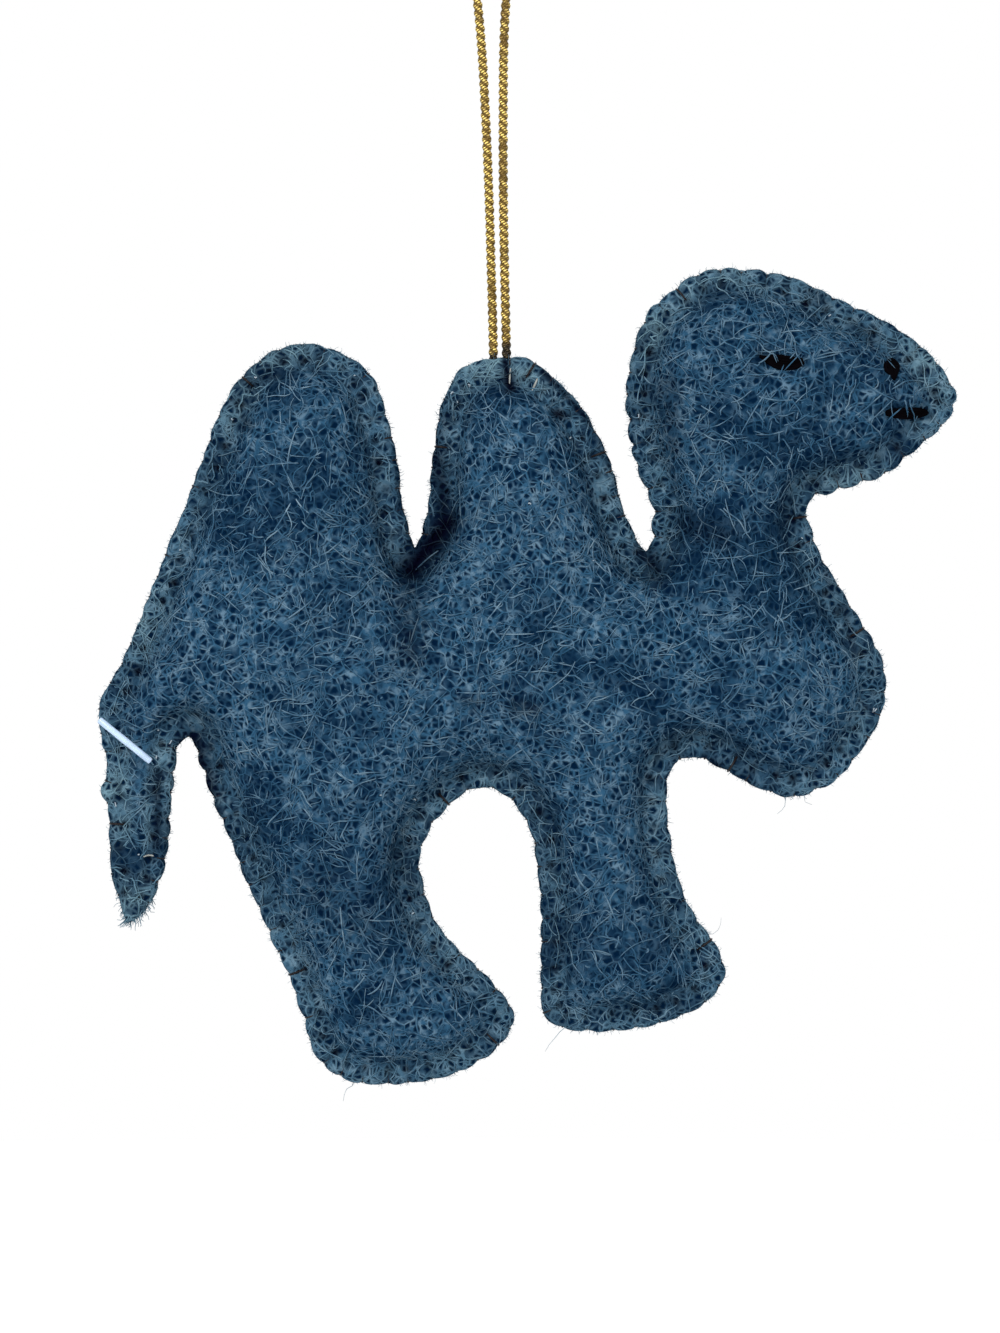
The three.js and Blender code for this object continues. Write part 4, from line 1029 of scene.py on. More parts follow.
def ring_faces(rings, sides):
    """Triangles between rings of points, one ring after another, with fans over the first and the
    last ring."""
    around = np.arange(sides)
    ring = np.arange(rings - 1)[:, None] * sides
    here, after = ring + around, ring + (around + 1) % sides
    wall = np.stack([here, after + sides, after, here, here + sides, after + sides], axis=2)
    fan = np.arange(1, sides - 1)
    start = np.stack([np.zeros_like(fan), fan, fan + 1], axis=1)
    end = (rings - 1) * sides + start[:, ::-1]
    return np.concatenate([wall.reshape(-1, 3), start, end])


def tubes(paths, radii, sides):
    """Closed tubes, one for each path of points. A ring of points stands square to the path at each
    of its points. The first ring is turned by the axis that its path follows least, and each later
    one keeps the turn of the one before. Paths are an array of tubes by points by three, and radii
    one of tubes by points. Returns vertices and triangles."""
    count, length = radii.shape
    heading = np.gradient(paths, axis=1)
    heading /= np.maximum(np.linalg.norm(heading, axis=2), TINY)[..., None]
    side = np.empty_like(heading)
    turn = np.eye(3)[np.abs(heading[:, 0]).argmin(axis=1)]
    for n in range(length):
        turn = turn - (turn * heading[:, n]).sum(axis=1)[:, None] * heading[:, n]
        turn /= np.maximum(np.linalg.norm(turn, axis=1), TINY)[:, None]
        side[:, n] = turn
    up = np.cross(side, heading)
    angle = angles_round(sides)
    spokes = side[:, :, None] * np.cos(angle)[:, None] + up[:, :, None] * np.sin(angle)[:, None]
    vertices = paths[:, :, None] + spokes * radii[:, :, None, None]
    faces = (np.arange(count) * length * sides)[:, None, None] + ring_faces(length, sides)
    return vertices.reshape(-1, 3), faces.reshape(-1, 3)


def fibre_lines(random, starts, headings, lengths, turn, wave, points):
    """Flat lines of fibres, as an array of fibres by points by two. Each runs at even steps in a
    direction that turns evenly along it with a wave on it."""
    count = len(starts)
    way = np.linspace(0, 1, points - 1)
    curl = random.normal(0, turn, (count, 1)) * (way - 0.5)
    wavy = random.normal(0, wave, (count, 1)) * np.sin(
        2 * math.pi
        * (way * random.uniform(*FIBRE_WAVES, (count, 1)) + random.uniform(0, 1, (count, 1))))
    angle = headings[:, None] + curl + wavy
    steps = np.stack([np.cos(angle), np.sin(angle)], axis=2) * (lengths / (points - 1))[:, None, None]
    return starts[:, None] + np.concatenate([np.zeros((count, 1, 2)), np.cumsum(steps, axis=1)], axis=1)


def along_fibre(tip, middle):
    """Values along a fibre, from one at both tips to another in the middle, as a flattened arch."""
    arch = np.sin(math.pi * np.linspace(0, 1, FIBRE_POINTS)) ** FIBRE_ARCH_POWER
    return tip + (middle - tip) * arch


def declare(piece, body, slot, *nodes):
    """The piece moves with a body and stands for these solids. The slot is not used."""
    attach(piece, body)
    if nodes:
        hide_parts(*nodes)


def tube_piece(name, paths, radii, sides, material, slot, *nodes, **values):
    """A piece of tubes on the ornament. Each value is one number, or one for each tube or for each
    point of the paths, and the material reads it by its name."""
    vertices, faces = tubes(paths, radii, sides)
    piece = new_piece(name, vertices, faces, material)
    for key, value in values.items():
        add_values(piece, key, np.repeat(np.broadcast_to(value, radii.shape), sides))
    declare(piece, "ornament", slot, *nodes)


# Finishes

class Finish:
    """A material whose surface is built up by short calls that each add a node and join it."""

    # A Mix node's two colours, by number, because other sockets of it have the same names
    first_colour = 6
    second_colour = 7

    def __init__(self, name, **sockets):
        self.material = bpy.data.materials.new(name)
        self.material.use_nodes = True
        self.tree = self.material.node_tree
        self.surface = self.tree.nodes["Principled BSDF"]
        for socket, value in sockets.items():
            self.surface.inputs[socket.replace("_", " ")].default_value = value
        self.place = self.tree.nodes.new("ShaderNodeTexCoord").outputs["Object"]

    def add(self, kind, inputs, output=0, **settings):
        """A node of this kind, with its settings, and values or links on its inputs."""
        node = self.tree.nodes.new(kind)
        for key, value in settings.items():
            setattr(node, key, value)
        for socket, value in inputs.items():
            if isinstance(value, bpy.types.NodeSocket):
                self.tree.links.new(value, node.inputs[socket])
            else:
                node.inputs[socket].default_value = value
        return node.outputs[output]

    def noise(self, scale, detail=2, distortion=0):
        """Smooth noise with this many cells a metre."""
        return self.add("ShaderNodeTexNoise", {
            "Vector": self.place, "Scale": scale, "Detail": detail, "Distortion": distortion})

    def value(self, name):
        """A value that the mesh carries."""
        return self.add("ShaderNodeAttribute", {}, output=2, attribute_name=name)

    def between(self, value, low, high, bottom=0.0, top=1.0):
        """The value's place between low and high, from bottom to top, in an S."""
        return self.add("ShaderNodeMapRange", {
            "Value": value, "From Min": low, "From Max": high, "To Min": bottom, "To Max": top,
        }, interpolation_type="SMOOTHSTEP")

    def sum(self, operation, first, second=0.5):
        """Two values put together."""
        return self.add("ShaderNodeMath", {0: first, 1: second}, operation=operation)

    def mix(self, share, first, second):
        """One colour laid over another by a share."""
        colours = {"Factor": share, self.first_colour: first, self.second_colour: second}
        return self.add("ShaderNodeMix", colours, output=2, data_type="RGBA")

    def warped(self, scale, reach):
        """Places moved a little by smooth noise, so that a pattern on them is uneven."""
        noise = self.add("ShaderNodeTexNoise", {"Vector": self.place, "Scale": scale}, output=1)
        centred = self.add("ShaderNodeVectorMath", {0: noise, 1: (0.5, 0.5, 0.5)}, operation="SUBTRACT")
        moved = self.add("ShaderNodeVectorMath", {0: centred, "Scale": reach}, operation="SCALE")
        return self.add("ShaderNodeVectorMath", {0: self.place, 1: moved}, operation="ADD")

    def slanting(self, place, scale, distortion, **inputs):
        """Slanting bands, uneven from one to the next, as a height."""
        inputs = {"Vector": place, "Scale": scale, "Distortion": distortion, "Detail": 2, **inputs}
        return self.add("ShaderNodeTexWave", inputs, output=1, bands_direction="DIAGONAL")

    def walls(self, scale, width, place):
        """The walls between uneven cells, this many a metre: 1 in a wall's middle and 0 from this
        width on, in shares of a cell."""
        away = self.add("ShaderNodeTexVoronoi", {"Vector": place, "Scale": scale},
                        feature="DISTANCE_TO_EDGE")
        return self.between(away, width, 0.02)

    def strands(self, scale, width, distortion):
        """Fine lines, as matted fibres: where smooth noise passes through its middle value."""
        noise = self.noise(scale, 1, distortion)
        away = self.sum("ABSOLUTE", self.sum("SUBTRACT", noise, 0.5))
        return self.between(away, width, 0)

    def bump(self, height, distance, strength):
        """Relief by a height."""
        return self.add("ShaderNodeBump", {"Height": height, "Distance": distance, "Strength": strength})

    def set(self, **sockets):
        """Links the surface's sockets."""
        for socket, value in sockets.items():
            self.tree.links.new(value, self.surface.inputs[socket.replace("_", " ")])


def opaque(colour, share=1):
    """A colour setting as red, green, blue and alpha, darker or lighter by a share."""
    return (*(min(1, share * part) for part in colour), 1)


def felt_finish():
    """Hand-felted wool: navy blotches in slate blue, a net of matted fibres as the walls of two sizes
    of uneven cells with dark pits between them in painted shade, a paler and greyer rim that is
    partly painted sheen, and painted shade where stitches and notches pull it in."""
    felt = bpy.context.scene.ornament_felt
    finish = Finish("slate_blue_felt", Roughness=1.0, Specular_IOR_Level=0.0)
    blotch = finish.between(finish.noise(75, 3, 0.4), 0.32, 0.56, 0.35, 1)
    patchy = finish.between(finish.noise(420), 0.34, 0.62, 0.3, 1)
    small = finish.walls(1000, 0.32, finish.warped(700, 0.5 * MM))
    large = finish.walls(520, 0.11, finish.warped(300, 1 * MM))
    net = finish.sum("MAXIMUM", finish.sum("MULTIPLY", small, patchy), large)
    share = finish.sum("MULTIPLY", net, blotch)
    # The pits between the walls are dark as painted shade, the blotches as the felt's own colour
    colour = finish.mix(share, opaque(felt.dark), opaque(felt.colour))
    crests = finish.sum("MULTIPLY", finish.sum("MULTIPLY", share, share),
                        finish.between(finish.noise(900), 0.42, 0.66, 0, 0.5))
    colour = finish.mix(crests, colour, opaque(felt.light))
    # Paler and greyer along the rim: partly the cut edge's own colour, partly painted sheen
    soft = finish.between(finish.noise(300), 0.3, 0.7, 0.4, 1)
    pale = finish.sum("MULTIPLY", finish.value("pale"), finish.sum("MULTIPLY", soft, share))
    colour = finish.mix(pale, colour, opaque(felt.rim))
    # Painted shade in the notches, creases, stitch holes and seam, and the darkest blotches
    colour = finish.mix(finish.value("dark"), colour, opaque(felt.deep))
    finish.set(Base_Color=colour, Normal=finish.bump(net, 0.32 * MM, 0.9))
    return finish.material


def fibre_finish():
    """Loose wool fibres, each with its own tint between the felt's colour and the light one, greyer
    along the rim partly as painted sheen, darker with the felt's dark blotches and painted shade, and
    white where they are lint, which is also a painted glint."""
    felt = bpy.context.scene.ornament_felt
    finish = Finish("loose_blue_fibres", Roughness=0.9, Specular_IOR_Level=0.02)
    patch = finish.between(finish.noise(160), 0.35, 0.65, 0.6, 1)
    along = finish.between(finish.noise(600), 0.38, 0.6, 0.12, 1)
    tint = finish.sum("MULTIPLY", finish.value("tint"), finish.sum("MULTIPLY", patch, along))
    colour = finish.mix(tint, opaque(felt.colour), opaque(felt.light))
    # Greyer along the rim, partly painted sheen, and dark with the felt's blotches and painted shade
    colour = finish.mix(finish.sum("MULTIPLY", finish.value("pale"), 0.75), colour, opaque(felt.rim))
    colour = finish.mix(finish.sum("MULTIPLY", finish.value("dark"), 0.93), colour, opaque(felt.deep))
    # Pale lint, whose pale colour also stands for glints as painted glints
    colour = finish.mix(finish.value("lint"), colour, opaque(LINT_AND_GLINT))
    finish.set(Base_Color=colour)
    return finish.material


def wool_finish():
    """Loose white stuffing wool: soft tufts of matted fibres."""
    felt = bpy.context.scene.ornament_felt
    finish = Finish("loose_wool", Roughness=1.0, Sheen_Weight=0.3, Sheen_Roughness=0.7)
    tufts = finish.between(finish.noise(180, 3, 0.5), 0.3, 0.7)
    lines = finish.strands(700, 0.05, 1.4)
    # Darker where the tufts sink: painted shade in the hollows, as well as uneven wool
    colour = finish.mix(tufts, opaque(felt.wool, 0.72), opaque(felt.wool))
    relief = finish.sum("ADD", tufts, finish.sum("MULTIPLY", lines, 0.4))
    finish.set(Base_Color=colour, Normal=finish.bump(relief, 0.5 * MM, 0.8))
    return finish.material


def thread_finish(name, colour, gloss, lay, glint):
    """Spun thread: fine slanting plies along it, with paler wear on top of them, and painted glints where
    it is marked pale.
    """
    finish = Finish(name, Roughness=gloss, Coat_Weight=glint, Coat_Roughness=0.25,
                    Specular_IOR_Level=0.02 + 0.3 * glint)
    grain = finish.noise(lay, 3, 0.3)
    worn = finish.between(finish.noise(300), 0.35, 0.7)
    shown = finish.mix(finish.sum("MULTIPLY", worn, 0.6), opaque(colour), opaque(colour, 1.8))
    # Painted glint where the thread is marked pale
    shown = finish.mix(finish.value("pale"), shown, opaque(PAINTED_THREAD_GLINT))
    finish.set(Base_Color=shown, Normal=finish.bump(grain, 0.08 * MM, 0.7))
    return finish.material


def gold_finish():
    """Metallic foil wound slantwise round each ply: bright turns with dark thread between them, worn and
    uneven from turn to turn, painted bright on top of each ply and dark in the grooves between plies as
    painted highlight and shade. The pattern follows the cord by its own map."""
    cord = bpy.context.scene.ornament_cord
    finish = Finish("gold_foil_cord", Metallic=0.6, Roughness=0.34, Specular_IOR_Level=0.5)
    along = finish.add("ShaderNodeUVMap", {}, uv_map="along")
    turns = finish.slanting(along, 1.6, 1.2, **{"Detail Scale": 3})
    bright = finish.between(turns, 0.25, 0.7)
    patchy = finish.between(finish.noise(900), 0.3, 0.55)
    # Bright on top of each ply and dark in the grooves between them: painted highlight and shade
    crest = finish.value("crest")
    share = finish.sum("MULTIPLY", finish.sum("MULTIPLY", bright, patchy), crest)
    colour = finish.mix(share, opaque(cord.dark), opaque(cord.bright))
    # Painted shade on the feet of the strands, where they go into the felt
    colour = finish.mix(finish.value("shade"), colour, opaque(CORD_FOOT_SHADE))
    finish.set(Base_Color=colour, Normal=finish.bump(turns, 0.08 * MM, 0.8))
    return finish.material


def knot_finish():
    """The same gold cord where it is knotted inside: foil in fine slanting turns over dark thread."""
    cord = bpy.context.scene.ornament_cord
    finish = Finish("gold_knot", Metallic=0.85, Roughness=0.35)
    turns = finish.slanting(finish.place, 420, 2)
    colour = finish.mix(finish.between(turns, 0.3, 0.7), opaque(cord.dark), opaque(cord.bright))
    finish.set(Base_Color=colour, Normal=finish.bump(turns, 0.1 * MM, 0.8))
    return finish.material


def plastic_finish():
    """Cloudy moulded plastic, pale blue, with faint flow marks and scuffs."""
    tag = bpy.context.scene.ornament_tag
    finish = Finish("pale_tag_plastic", Roughness=0.36, Subsurface_Weight=0.2,
                    Subsurface_Radius=(1, 1, 1), Subsurface_Scale=0.5 * MM, Coat_Weight=0.15)
    cloud = finish.between(finish.noise(500, 3, 0.5), 0.3, 0.7)
    scuffs = finish.noise(2500)
    finish.set(Base_Color=finish.mix(cloud, opaque(tag.colour, 0.86), opaque(tag.colour)),
               Roughness=finish.between(finish.noise(1100), 0.3, 0.7, 0.28, 0.46),
               Normal=finish.bump(scuffs, 0.02 * MM, 0.5))
    return finish.material


# The pieces

def hex_spots(step):
    """Places all over the figure's box on a grid of even triangles."""
    rows = int(FIGURE_HEIGHT / (step * math.sqrt(3) / 2)) + 1
    columns = int(FIGURE_LENGTH / step) + 2
    row, column = np.meshgrid(np.arange(rows), np.arange(columns), indexing="ij")
    x = (column + (row % 2) / 2) * step
    z = row * step * math.sqrt(3) / 2
    return CORNER + np.stack([x.ravel(), z.ravel()], axis=1)


def fill_cut(shape, step, rings):
    """Triangles that fill the cut edge: points on lines that follow it at the rings' depths, and an
    even grid inside the last. Returns the points, those on the edge first, and the triangles, each
    turned so that it faces the front."""
    random = np.random.default_rng(FILL_SEED)
    lines = [shape.cut - shape.out * depth for depth in rings]
    lines = [
        line[nearest(line, shape.cut)[1] > RING_KEPT_SHARE * depth]
        for line, depth in zip(lines, rings)]
    lines = [line[within(line, shape.cut)] for line in lines]
    spots = hex_spots(step)
    spots = spots[shape.read(shape.grid_depth, spots) > 0]
    away = nearest(spots, shape.cut)[1]
    spots = spots[away > rings[-1] + step * GRID_CLEAR_SHARE]
    spots = spots + random.uniform(-GRID_STRAY_SHARE, GRID_STRAY_SHARE, spots.shape) * step
    points = np.concatenate([shape.cut, *lines, spots])
    count = len(shape.cut)
    border = [(i, (i + 1) % count) for i in range(count)]
    made = delaunay_2d_cdt([tuple(p) for p in points], border, [], KEEP_INSIDE, SAME_POINT, False)
    flat = np.array([tuple(p) for p in made[0]])
    triangles = np.array(made[2])
    doubtful = (triangles < count).all(axis=1)
    kept = ~doubtful
    kept[doubtful] = within(flat[triangles[doubtful]].mean(axis=1), shape.cut)
    triangles = triangles[kept]
    a, b, c = flat[triangles[:, 0]], flat[triangles[:, 1]], flat[triangles[:, 2]]
    turn = (b - a)[:, 0] * (c - a)[:, 1] - (b - a)[:, 1] * (c - a)[:, 0]
    triangles[turn < 0] = triangles[turn < 0][:, ::-1]
    if not np.allclose(flat[:count], shape.cut, atol=EDGE_MOVED):
        raise RuntimeError("the cut edge crosses itself, so the felt can't be filled")
    return flat, triangles


def build_panel(name, side, material):
    """A felt panel: its outer face finely divided, its inner one coarsely, joined along the cut edge."""
    shape = figure()
    if "fills" not in _made:
        _made["fills"] = (
            fill_cut(shape, OUTER_STEP, OUTER_RINGS), fill_cut(shape, INNER_STEP, INNER_RINGS))
    (over, over_faces), (under, under_faces) = _made["fills"]
    count = len(shape.cut)
    marks = shape.marks(over)
    outer = shape.rounded(over, shape.outer(over, side, marks), RIM_OUTER_ROUND)
    inner = shape.rounded(under, shape.inner(under, side), RIM_INNER_ROUND)
    spots = np.concatenate([over, under[count:]])
    heights = np.concatenate([outer, inner[count:]])
    vertices = in_space(spots, side * heights)
    under_faces = np.where(under_faces < count, under_faces, under_faces - count + len(over))
    faces = np.concatenate([over_faces, under_faces[:, ::-1]])
    if side > 0:
        faces = faces[:, ::-1]
    panel = new_piece(f"{name}_felt", vertices, faces, material)
    # Painted shade where the stitches, the crease, the face stitches and the tag press the felt in, a
    # little uneven
    pressed = sum(dark * mark for dark, mark in zip(MARK_PAINTED_SHADES, marks))
    uneven = value_noise(over, MARK_UNEVEN_CELL, MARK_SEED)
    pressed *= 1 - MARK_UNEVEN_SHARE + MARK_UNEVEN_SHARE * uneven
    dark, pale = shape.tones(over)
    # The inner faces take painted shade, as the gap between the panels lies in shade
    hidden = np.zeros(len(under) - count)
    dark = np.clip(np.maximum(dark, pressed), 0, 1)
    add_values(panel, "dark", np.concatenate([dark, hidden + SEAM_PAINTED_SHADE]))
    add_values(panel, "pale", np.concatenate([pale, hidden]))
    declare(panel, "ornament", "felt", f"{name}_felt_panel")


def build_wad(node, material):
    """A wad of loose wool: the solid's own form, drawn as one even skin and sunk a little unevenly."""
    source = frame["nodes"][node]
    net = bmesh.new()
    net.from_mesh(source.data)
    bmesh.ops.remove_doubles(net, verts=net.verts, dist=MERGE_DISTANCE)
    mesh = bpy.data.meshes.new(node + "_wool")
    net.to_mesh(mesh)
    net.free()
    piece = bpy.data.objects.new(node.replace("stuffing", "wool"), mesh)
    bpy.context.scene.collection.objects.link(piece)
    remesh = piece.modifiers.new("skin", "REMESH")
    remesh.mode = "VOXEL"
    remesh.voxel_size = WAD_VOXEL
    soften = piece.modifiers.new("soften", "SMOOTH")
    soften.iterations = WAD_SMOOTHING
    depsgraph = bpy.context.evaluated_depsgraph_get()
    skin = bpy.data.meshes.new_from_object(piece.evaluated_get(depsgraph))
    piece.modifiers.clear()
    piece.data = skin
    co = np.empty(len(skin.vertices) * 3)
    skin.vertices.foreach_get("co", co)
    normals = np.empty_like(co)
    skin.vertices.foreach_get("normal", normals)
    co, normals = co.reshape(-1, 3), normals.reshape(-1, 3)
    tufts = layered_noise(co[:, [0, 2]] + co[:, [1]], WAD_TUFTS, TUFT_SEED)
    co += normals * (tufts - WAD_SINK)[:, None]
    skin.vertices.foreach_set("co", co.ravel())
    skin.update()
    skin.polygons.foreach_set("use_smooth", np.ones(len(skin.polygons), bool))
    skin.materials.clear()
    skin.materials.append(material)
    declare(piece, "ornament", "stuffing", node)


def whip_path(shape, run, radius, shown, random):
    """The thread of one run: up through a hole, over the front of the lip to the rim, round it, and
    slanting over the back to the next hole. It lies in its own groove, and the stitches that don't
    show are sunk under the wool."""
    hole, rim, out = run["hole"], run["rim"], run["out"]
    later = np.concatenate([hole[1:], hole[-1:]])
    sink = radius * np.where(
        shown, random.uniform(*OPEN_SINKS, len(hole)), random.uniform(*CLOSED_SINKS, len(hole)))
    reach = ((radius - sink) * RIM_REACH_SHARE)[:, None]

    def over(spots, side, share=1.0):
        height = shape.outer(spots, side) * share + radius - sink
        return in_space(spots, side * height)

    def level(spots, height):
        return in_space(spots, np.full(len(spots), height))

    middle = (hole + rim) / 2
    slant = rim * (1 - SLANT_SHARE) + later * SLANT_SHARE
    bend = rim - out * BEND_INSET
    past = rim + out * reach
    turn = RIM_MIDDLE_SHARE * shape.felt.lip_thickness
    steps = [
        level(hole, 0), over(hole, -1, HOLE_RISE_SHARE), over(middle, -1),
        over(bend, -1, BEND_RISE_SHARE), level(past, -turn), level(past, turn),
        over(bend, 1, BEND_RISE_SHARE), over(slant, 1), over(later, 1, HOLE_RISE_SHARE),
    ]
    path = np.stack(steps, axis=1).reshape(-1, 3)
    return np.concatenate([path, level(hole[-1:], 0)])


def lay_fibres(shape, side, kind, count, random):
    """Fibres of one kind over one panel: their paths, radii and tints. Each lies on the felt, arched
    up by its lift in the middle and sunk at both tips. Near the cut edge they are shorter, many follow
    it, and those that run past it bend over it. One that would have to leap a notch is left out."""
    low, high = shape.cut.min(axis=0), shape.cut.max(axis=0)
    starts = random.uniform(low, high, (count * FIBRE_TRIES, 2))
    depth = shape.read(shape.grid_depth, starts)
    starts, depth = starts[depth > 0], depth[depth > 0]
    lengths = np.minimum(random.uniform(*kind["lengths"], len(starts)), FIBRE_SHORTEST + 2 * depth)
    along = shape.heading[nearest(starts, shape.edge)[0]]
    follows = (depth < RIM_LAY_DEPTH) & (random.random(len(starts)) < RIM_LAY_SHARE)
    headings = np.where(
        follows, np.arctan2(along[:, 1], along[:, 0]) + random.normal(0, RIM_LAY_SPREAD, len(starts)),
        random.uniform(0, 2 * math.pi, len(starts)))
    lines = fibre_lines(random, starts, headings, lengths, kind["turn"], kind["wave"], FIBRE_POINTS)
    lines += starts[:, None] - lines.mean(axis=1)[:, None]
    depths = shape.read(shape.grid_depth, lines.reshape(-1, 2)).reshape(lines.shape[:2])
    clear = shape.from_face(starts) > FACE_CLEARANCE
    spared = random.random(len(starts)) < FACE_CLEAR_SHARE
    kept = (depths.min(axis=1) > -FIBRE_OVERHANG) & (clear | spared)
    lines, lengths = lines[kept][:count], lengths[kept][:count]
    spots, height = shape.settle(lines, side)
    leaps = np.linalg.norm(np.diff(spots, axis=1), axis=2).max(axis=1)
    kept = leaps < FIBRE_LEAP_SHARE * lengths / (FIBRE_POINTS - 1)
    spots, height = spots[kept], height[kept]
    radius = random.uniform(*kind["radii"], len(spots))[:, None]
    lift = random.uniform(*kind["lifts"], len(spots))[:, None]
    face = bell(shape.from_face(spots.reshape(-1, 2)), FACE_DENT_WIDTH)
    bridges = random.random((len(spots), 1)) < kind["bridges"]
    height = height + along_fibre(0, lift) - radius * along_fibre(FIBRE_TIP_SINK, 0)
    height = height + bridges * FACE_DENT * face.reshape(height.shape)
    radii = radius * along_fibre(FIBRE_TIP_SHARE, 1)
    return in_space(spots, side * height), radii, random.uniform(*kind["tints"], (len(spots), 1))


def specks(shape, random):
    """Short thick bits of white lint that stand up from the front of the felt, their pale colour also a
    painted glint: their paths and radii.
    """
    starts = place(LINT_SHARES)
    headings = random.uniform(0, 2 * math.pi, len(starts))
    lengths = LINT_LENGTH * random.uniform(*LINT_UNEVEN, len(starts))
    lines = fibre_lines(random, starts, headings, lengths, LINT_TURN, LINT_WAVE, HAIR_POINTS)
    spots, height = shape.settle(lines, SIDES["front"])
    paths = in_space(spots, SIDES["front"] * (height + LINT_RISE_SHARE * LINT_RADIUS))
    return paths, np.full(height.shape, LINT_RADIUS)


def rim_hairs(shape, count, random):
    """Fine hairs that stand out from the cut edge all round, and longer frayed ones at the tip of the
    tail, with a few strays: their paths, radii and tints."""
    tip = place(TAIL_TIP_SHARE)
    near_tip = np.flatnonzero(np.linalg.norm(shape.edge - tip, axis=1) < TAIL_TIP_REACH)
    places = {
        "rim": random.integers(0, len(shape.edge), count),
        "frayed": random.choice(near_tip, FRAYED_HAIRS),
        "stray": nearest(place(STRAY_SHARES), shape.edge)[0],
    }
    lip = shape.felt.lip_thickness
    way = np.linspace(0, 1, HAIR_POINTS)
    taper = np.linspace(1, HAIR_TIP_SHARE, HAIR_POINTS)
    paths, radii, tints = [], [], []
    for name, kind in HAIR_KINDS.items():
        at = places[name]
        out = shape.out[at]
        leaning = out + kind["drift"]
        spread = random.normal(0, kind["spread"], len(at))
        headings = np.arctan2(leaning[:, 1], leaning[:, 0]) + spread
        lengths = random.uniform(*kind["lengths"], len(at)) * random.uniform(*HAIR_UNEVEN, len(at))
        starts = shape.cut[at] - out * HAIR_ROOT
        lines = fibre_lines(random, starts, headings, lengths, HAIR_TURN, HAIR_WAVE, HAIR_POINTS)
        base = random.uniform(-HAIR_BAND_SHARE, HAIR_BAND_SHARE, (len(at), 1)) * lip
        lean = random.normal(0, HAIR_LEAN, (len(at), 1)) * lengths[:, None] * way
        paths.append(in_space(lines, base + lean))
        radii.append(random.uniform(*kind["radii"], (len(at), 1)) * taper)
        tints.append(random.uniform(*HAIR_TINTS, (len(at), 1)))
    return np.concatenate(paths), np.concatenate(radii), np.concatenate(tints)


def single_fibres(shape, side, pixels, radius):
    """Fibres through chosen places: each a smooth curve at even steps, at the height that the felt has
    beside the face stitches' dents, and down at both ends. Returns their paths and radii."""
    curves = [smooth_curve(seen(line), FIBRE_POINTS, False) for line in pixels]
    along = [lengths_along(curve) for curve in curves]
    lines = np.stack([
        sample_at(curve, lengths, np.linspace(0, lengths[-1], FIBRE_POINTS))
        for curve, lengths in zip(curves, along)])
    spots = lines.reshape(-1, 2)
    face = bell(shape.from_face(spots), FACE_DENT_WIDTH)
    height = (shape.outer(spots, side) + FACE_DENT * face).reshape(lines.shape[:2])
    height = height + SINGLE_LIFT - radius * along_fibre(FIBRE_TIP_SINK, 0)
    paths = in_space(lines, side * height)
    return paths, np.tile(radius * along_fibre(FIBRE_TIP_SHARE, 1), (len(lines), 1))


def face_paths(shape, feature, side, radius, random):
    """The strands of one face stitch: side by side across its thickness, a little longer or shorter
    than each other, each up out of the wool at one end, over the felt in its dent, and down again."""
    line = smooth_curve(place(feature["shares"]), STRAND_SAMPLES, False)
    heading = unit(np.gradient(line, axis=0))
    across = sideways(heading)
    strands, start = feature["strands"], feature["taper"]
    half = feature["thickness"] / 2 - radius
    way = np.linspace(-1, 1, len(line))
    taper = start + (1 - start) * smoothstep(-1, FACE_TAPER_END, way)
    bulge = (np.sqrt(1 - FACE_POINTEDNESS * way**2) * taper)[:, None]
    paths = []
    for n in range(strands):
        offset = half * (2 * n / (strands - 1) - 1)
        longer = np.interp(way, (-1, 1), random.uniform(-FACE_UNEVEN, FACE_UNEVEN, 2))
        spots = line + across * offset * bulge + heading * longer[:, None]
        ends = spots[[0, -1]]
        stands = STRAND_RISE - STRAND_FALL * abs(way) + STRAND_STAGGER * (n % 2)
        height = shape.outer(spots, side) + radius * stands
        flat = np.concatenate([ends[:1], spots, ends[1:]])
        deep = shape.inner(ends, side) * STRAND_SUNK_SHARE
        heights = np.concatenate([deep[:1], height, deep[1:]])
        paths.append(in_space(flat, side * heights))
    return paths


def cord_line():
    """The cord's middle line at even steps, with both ends run on straight down into the felt."""
    route = np.array(CORD_ROUTE)
    ends = [route[i] - (0, 0, SEWN_IN) for i in (0, -1)]
    curve = smooth_curve([ends[0], *route, ends[1]], CORD_SAMPLES, False)
    lengths = lengths_along(curve)
    count = round(lengths[-1] / CORD_RING_STEP) + 1
    return sample_at(curve, lengths, np.linspace(0, lengths[-1], count)), lengths[-1]


# Operators

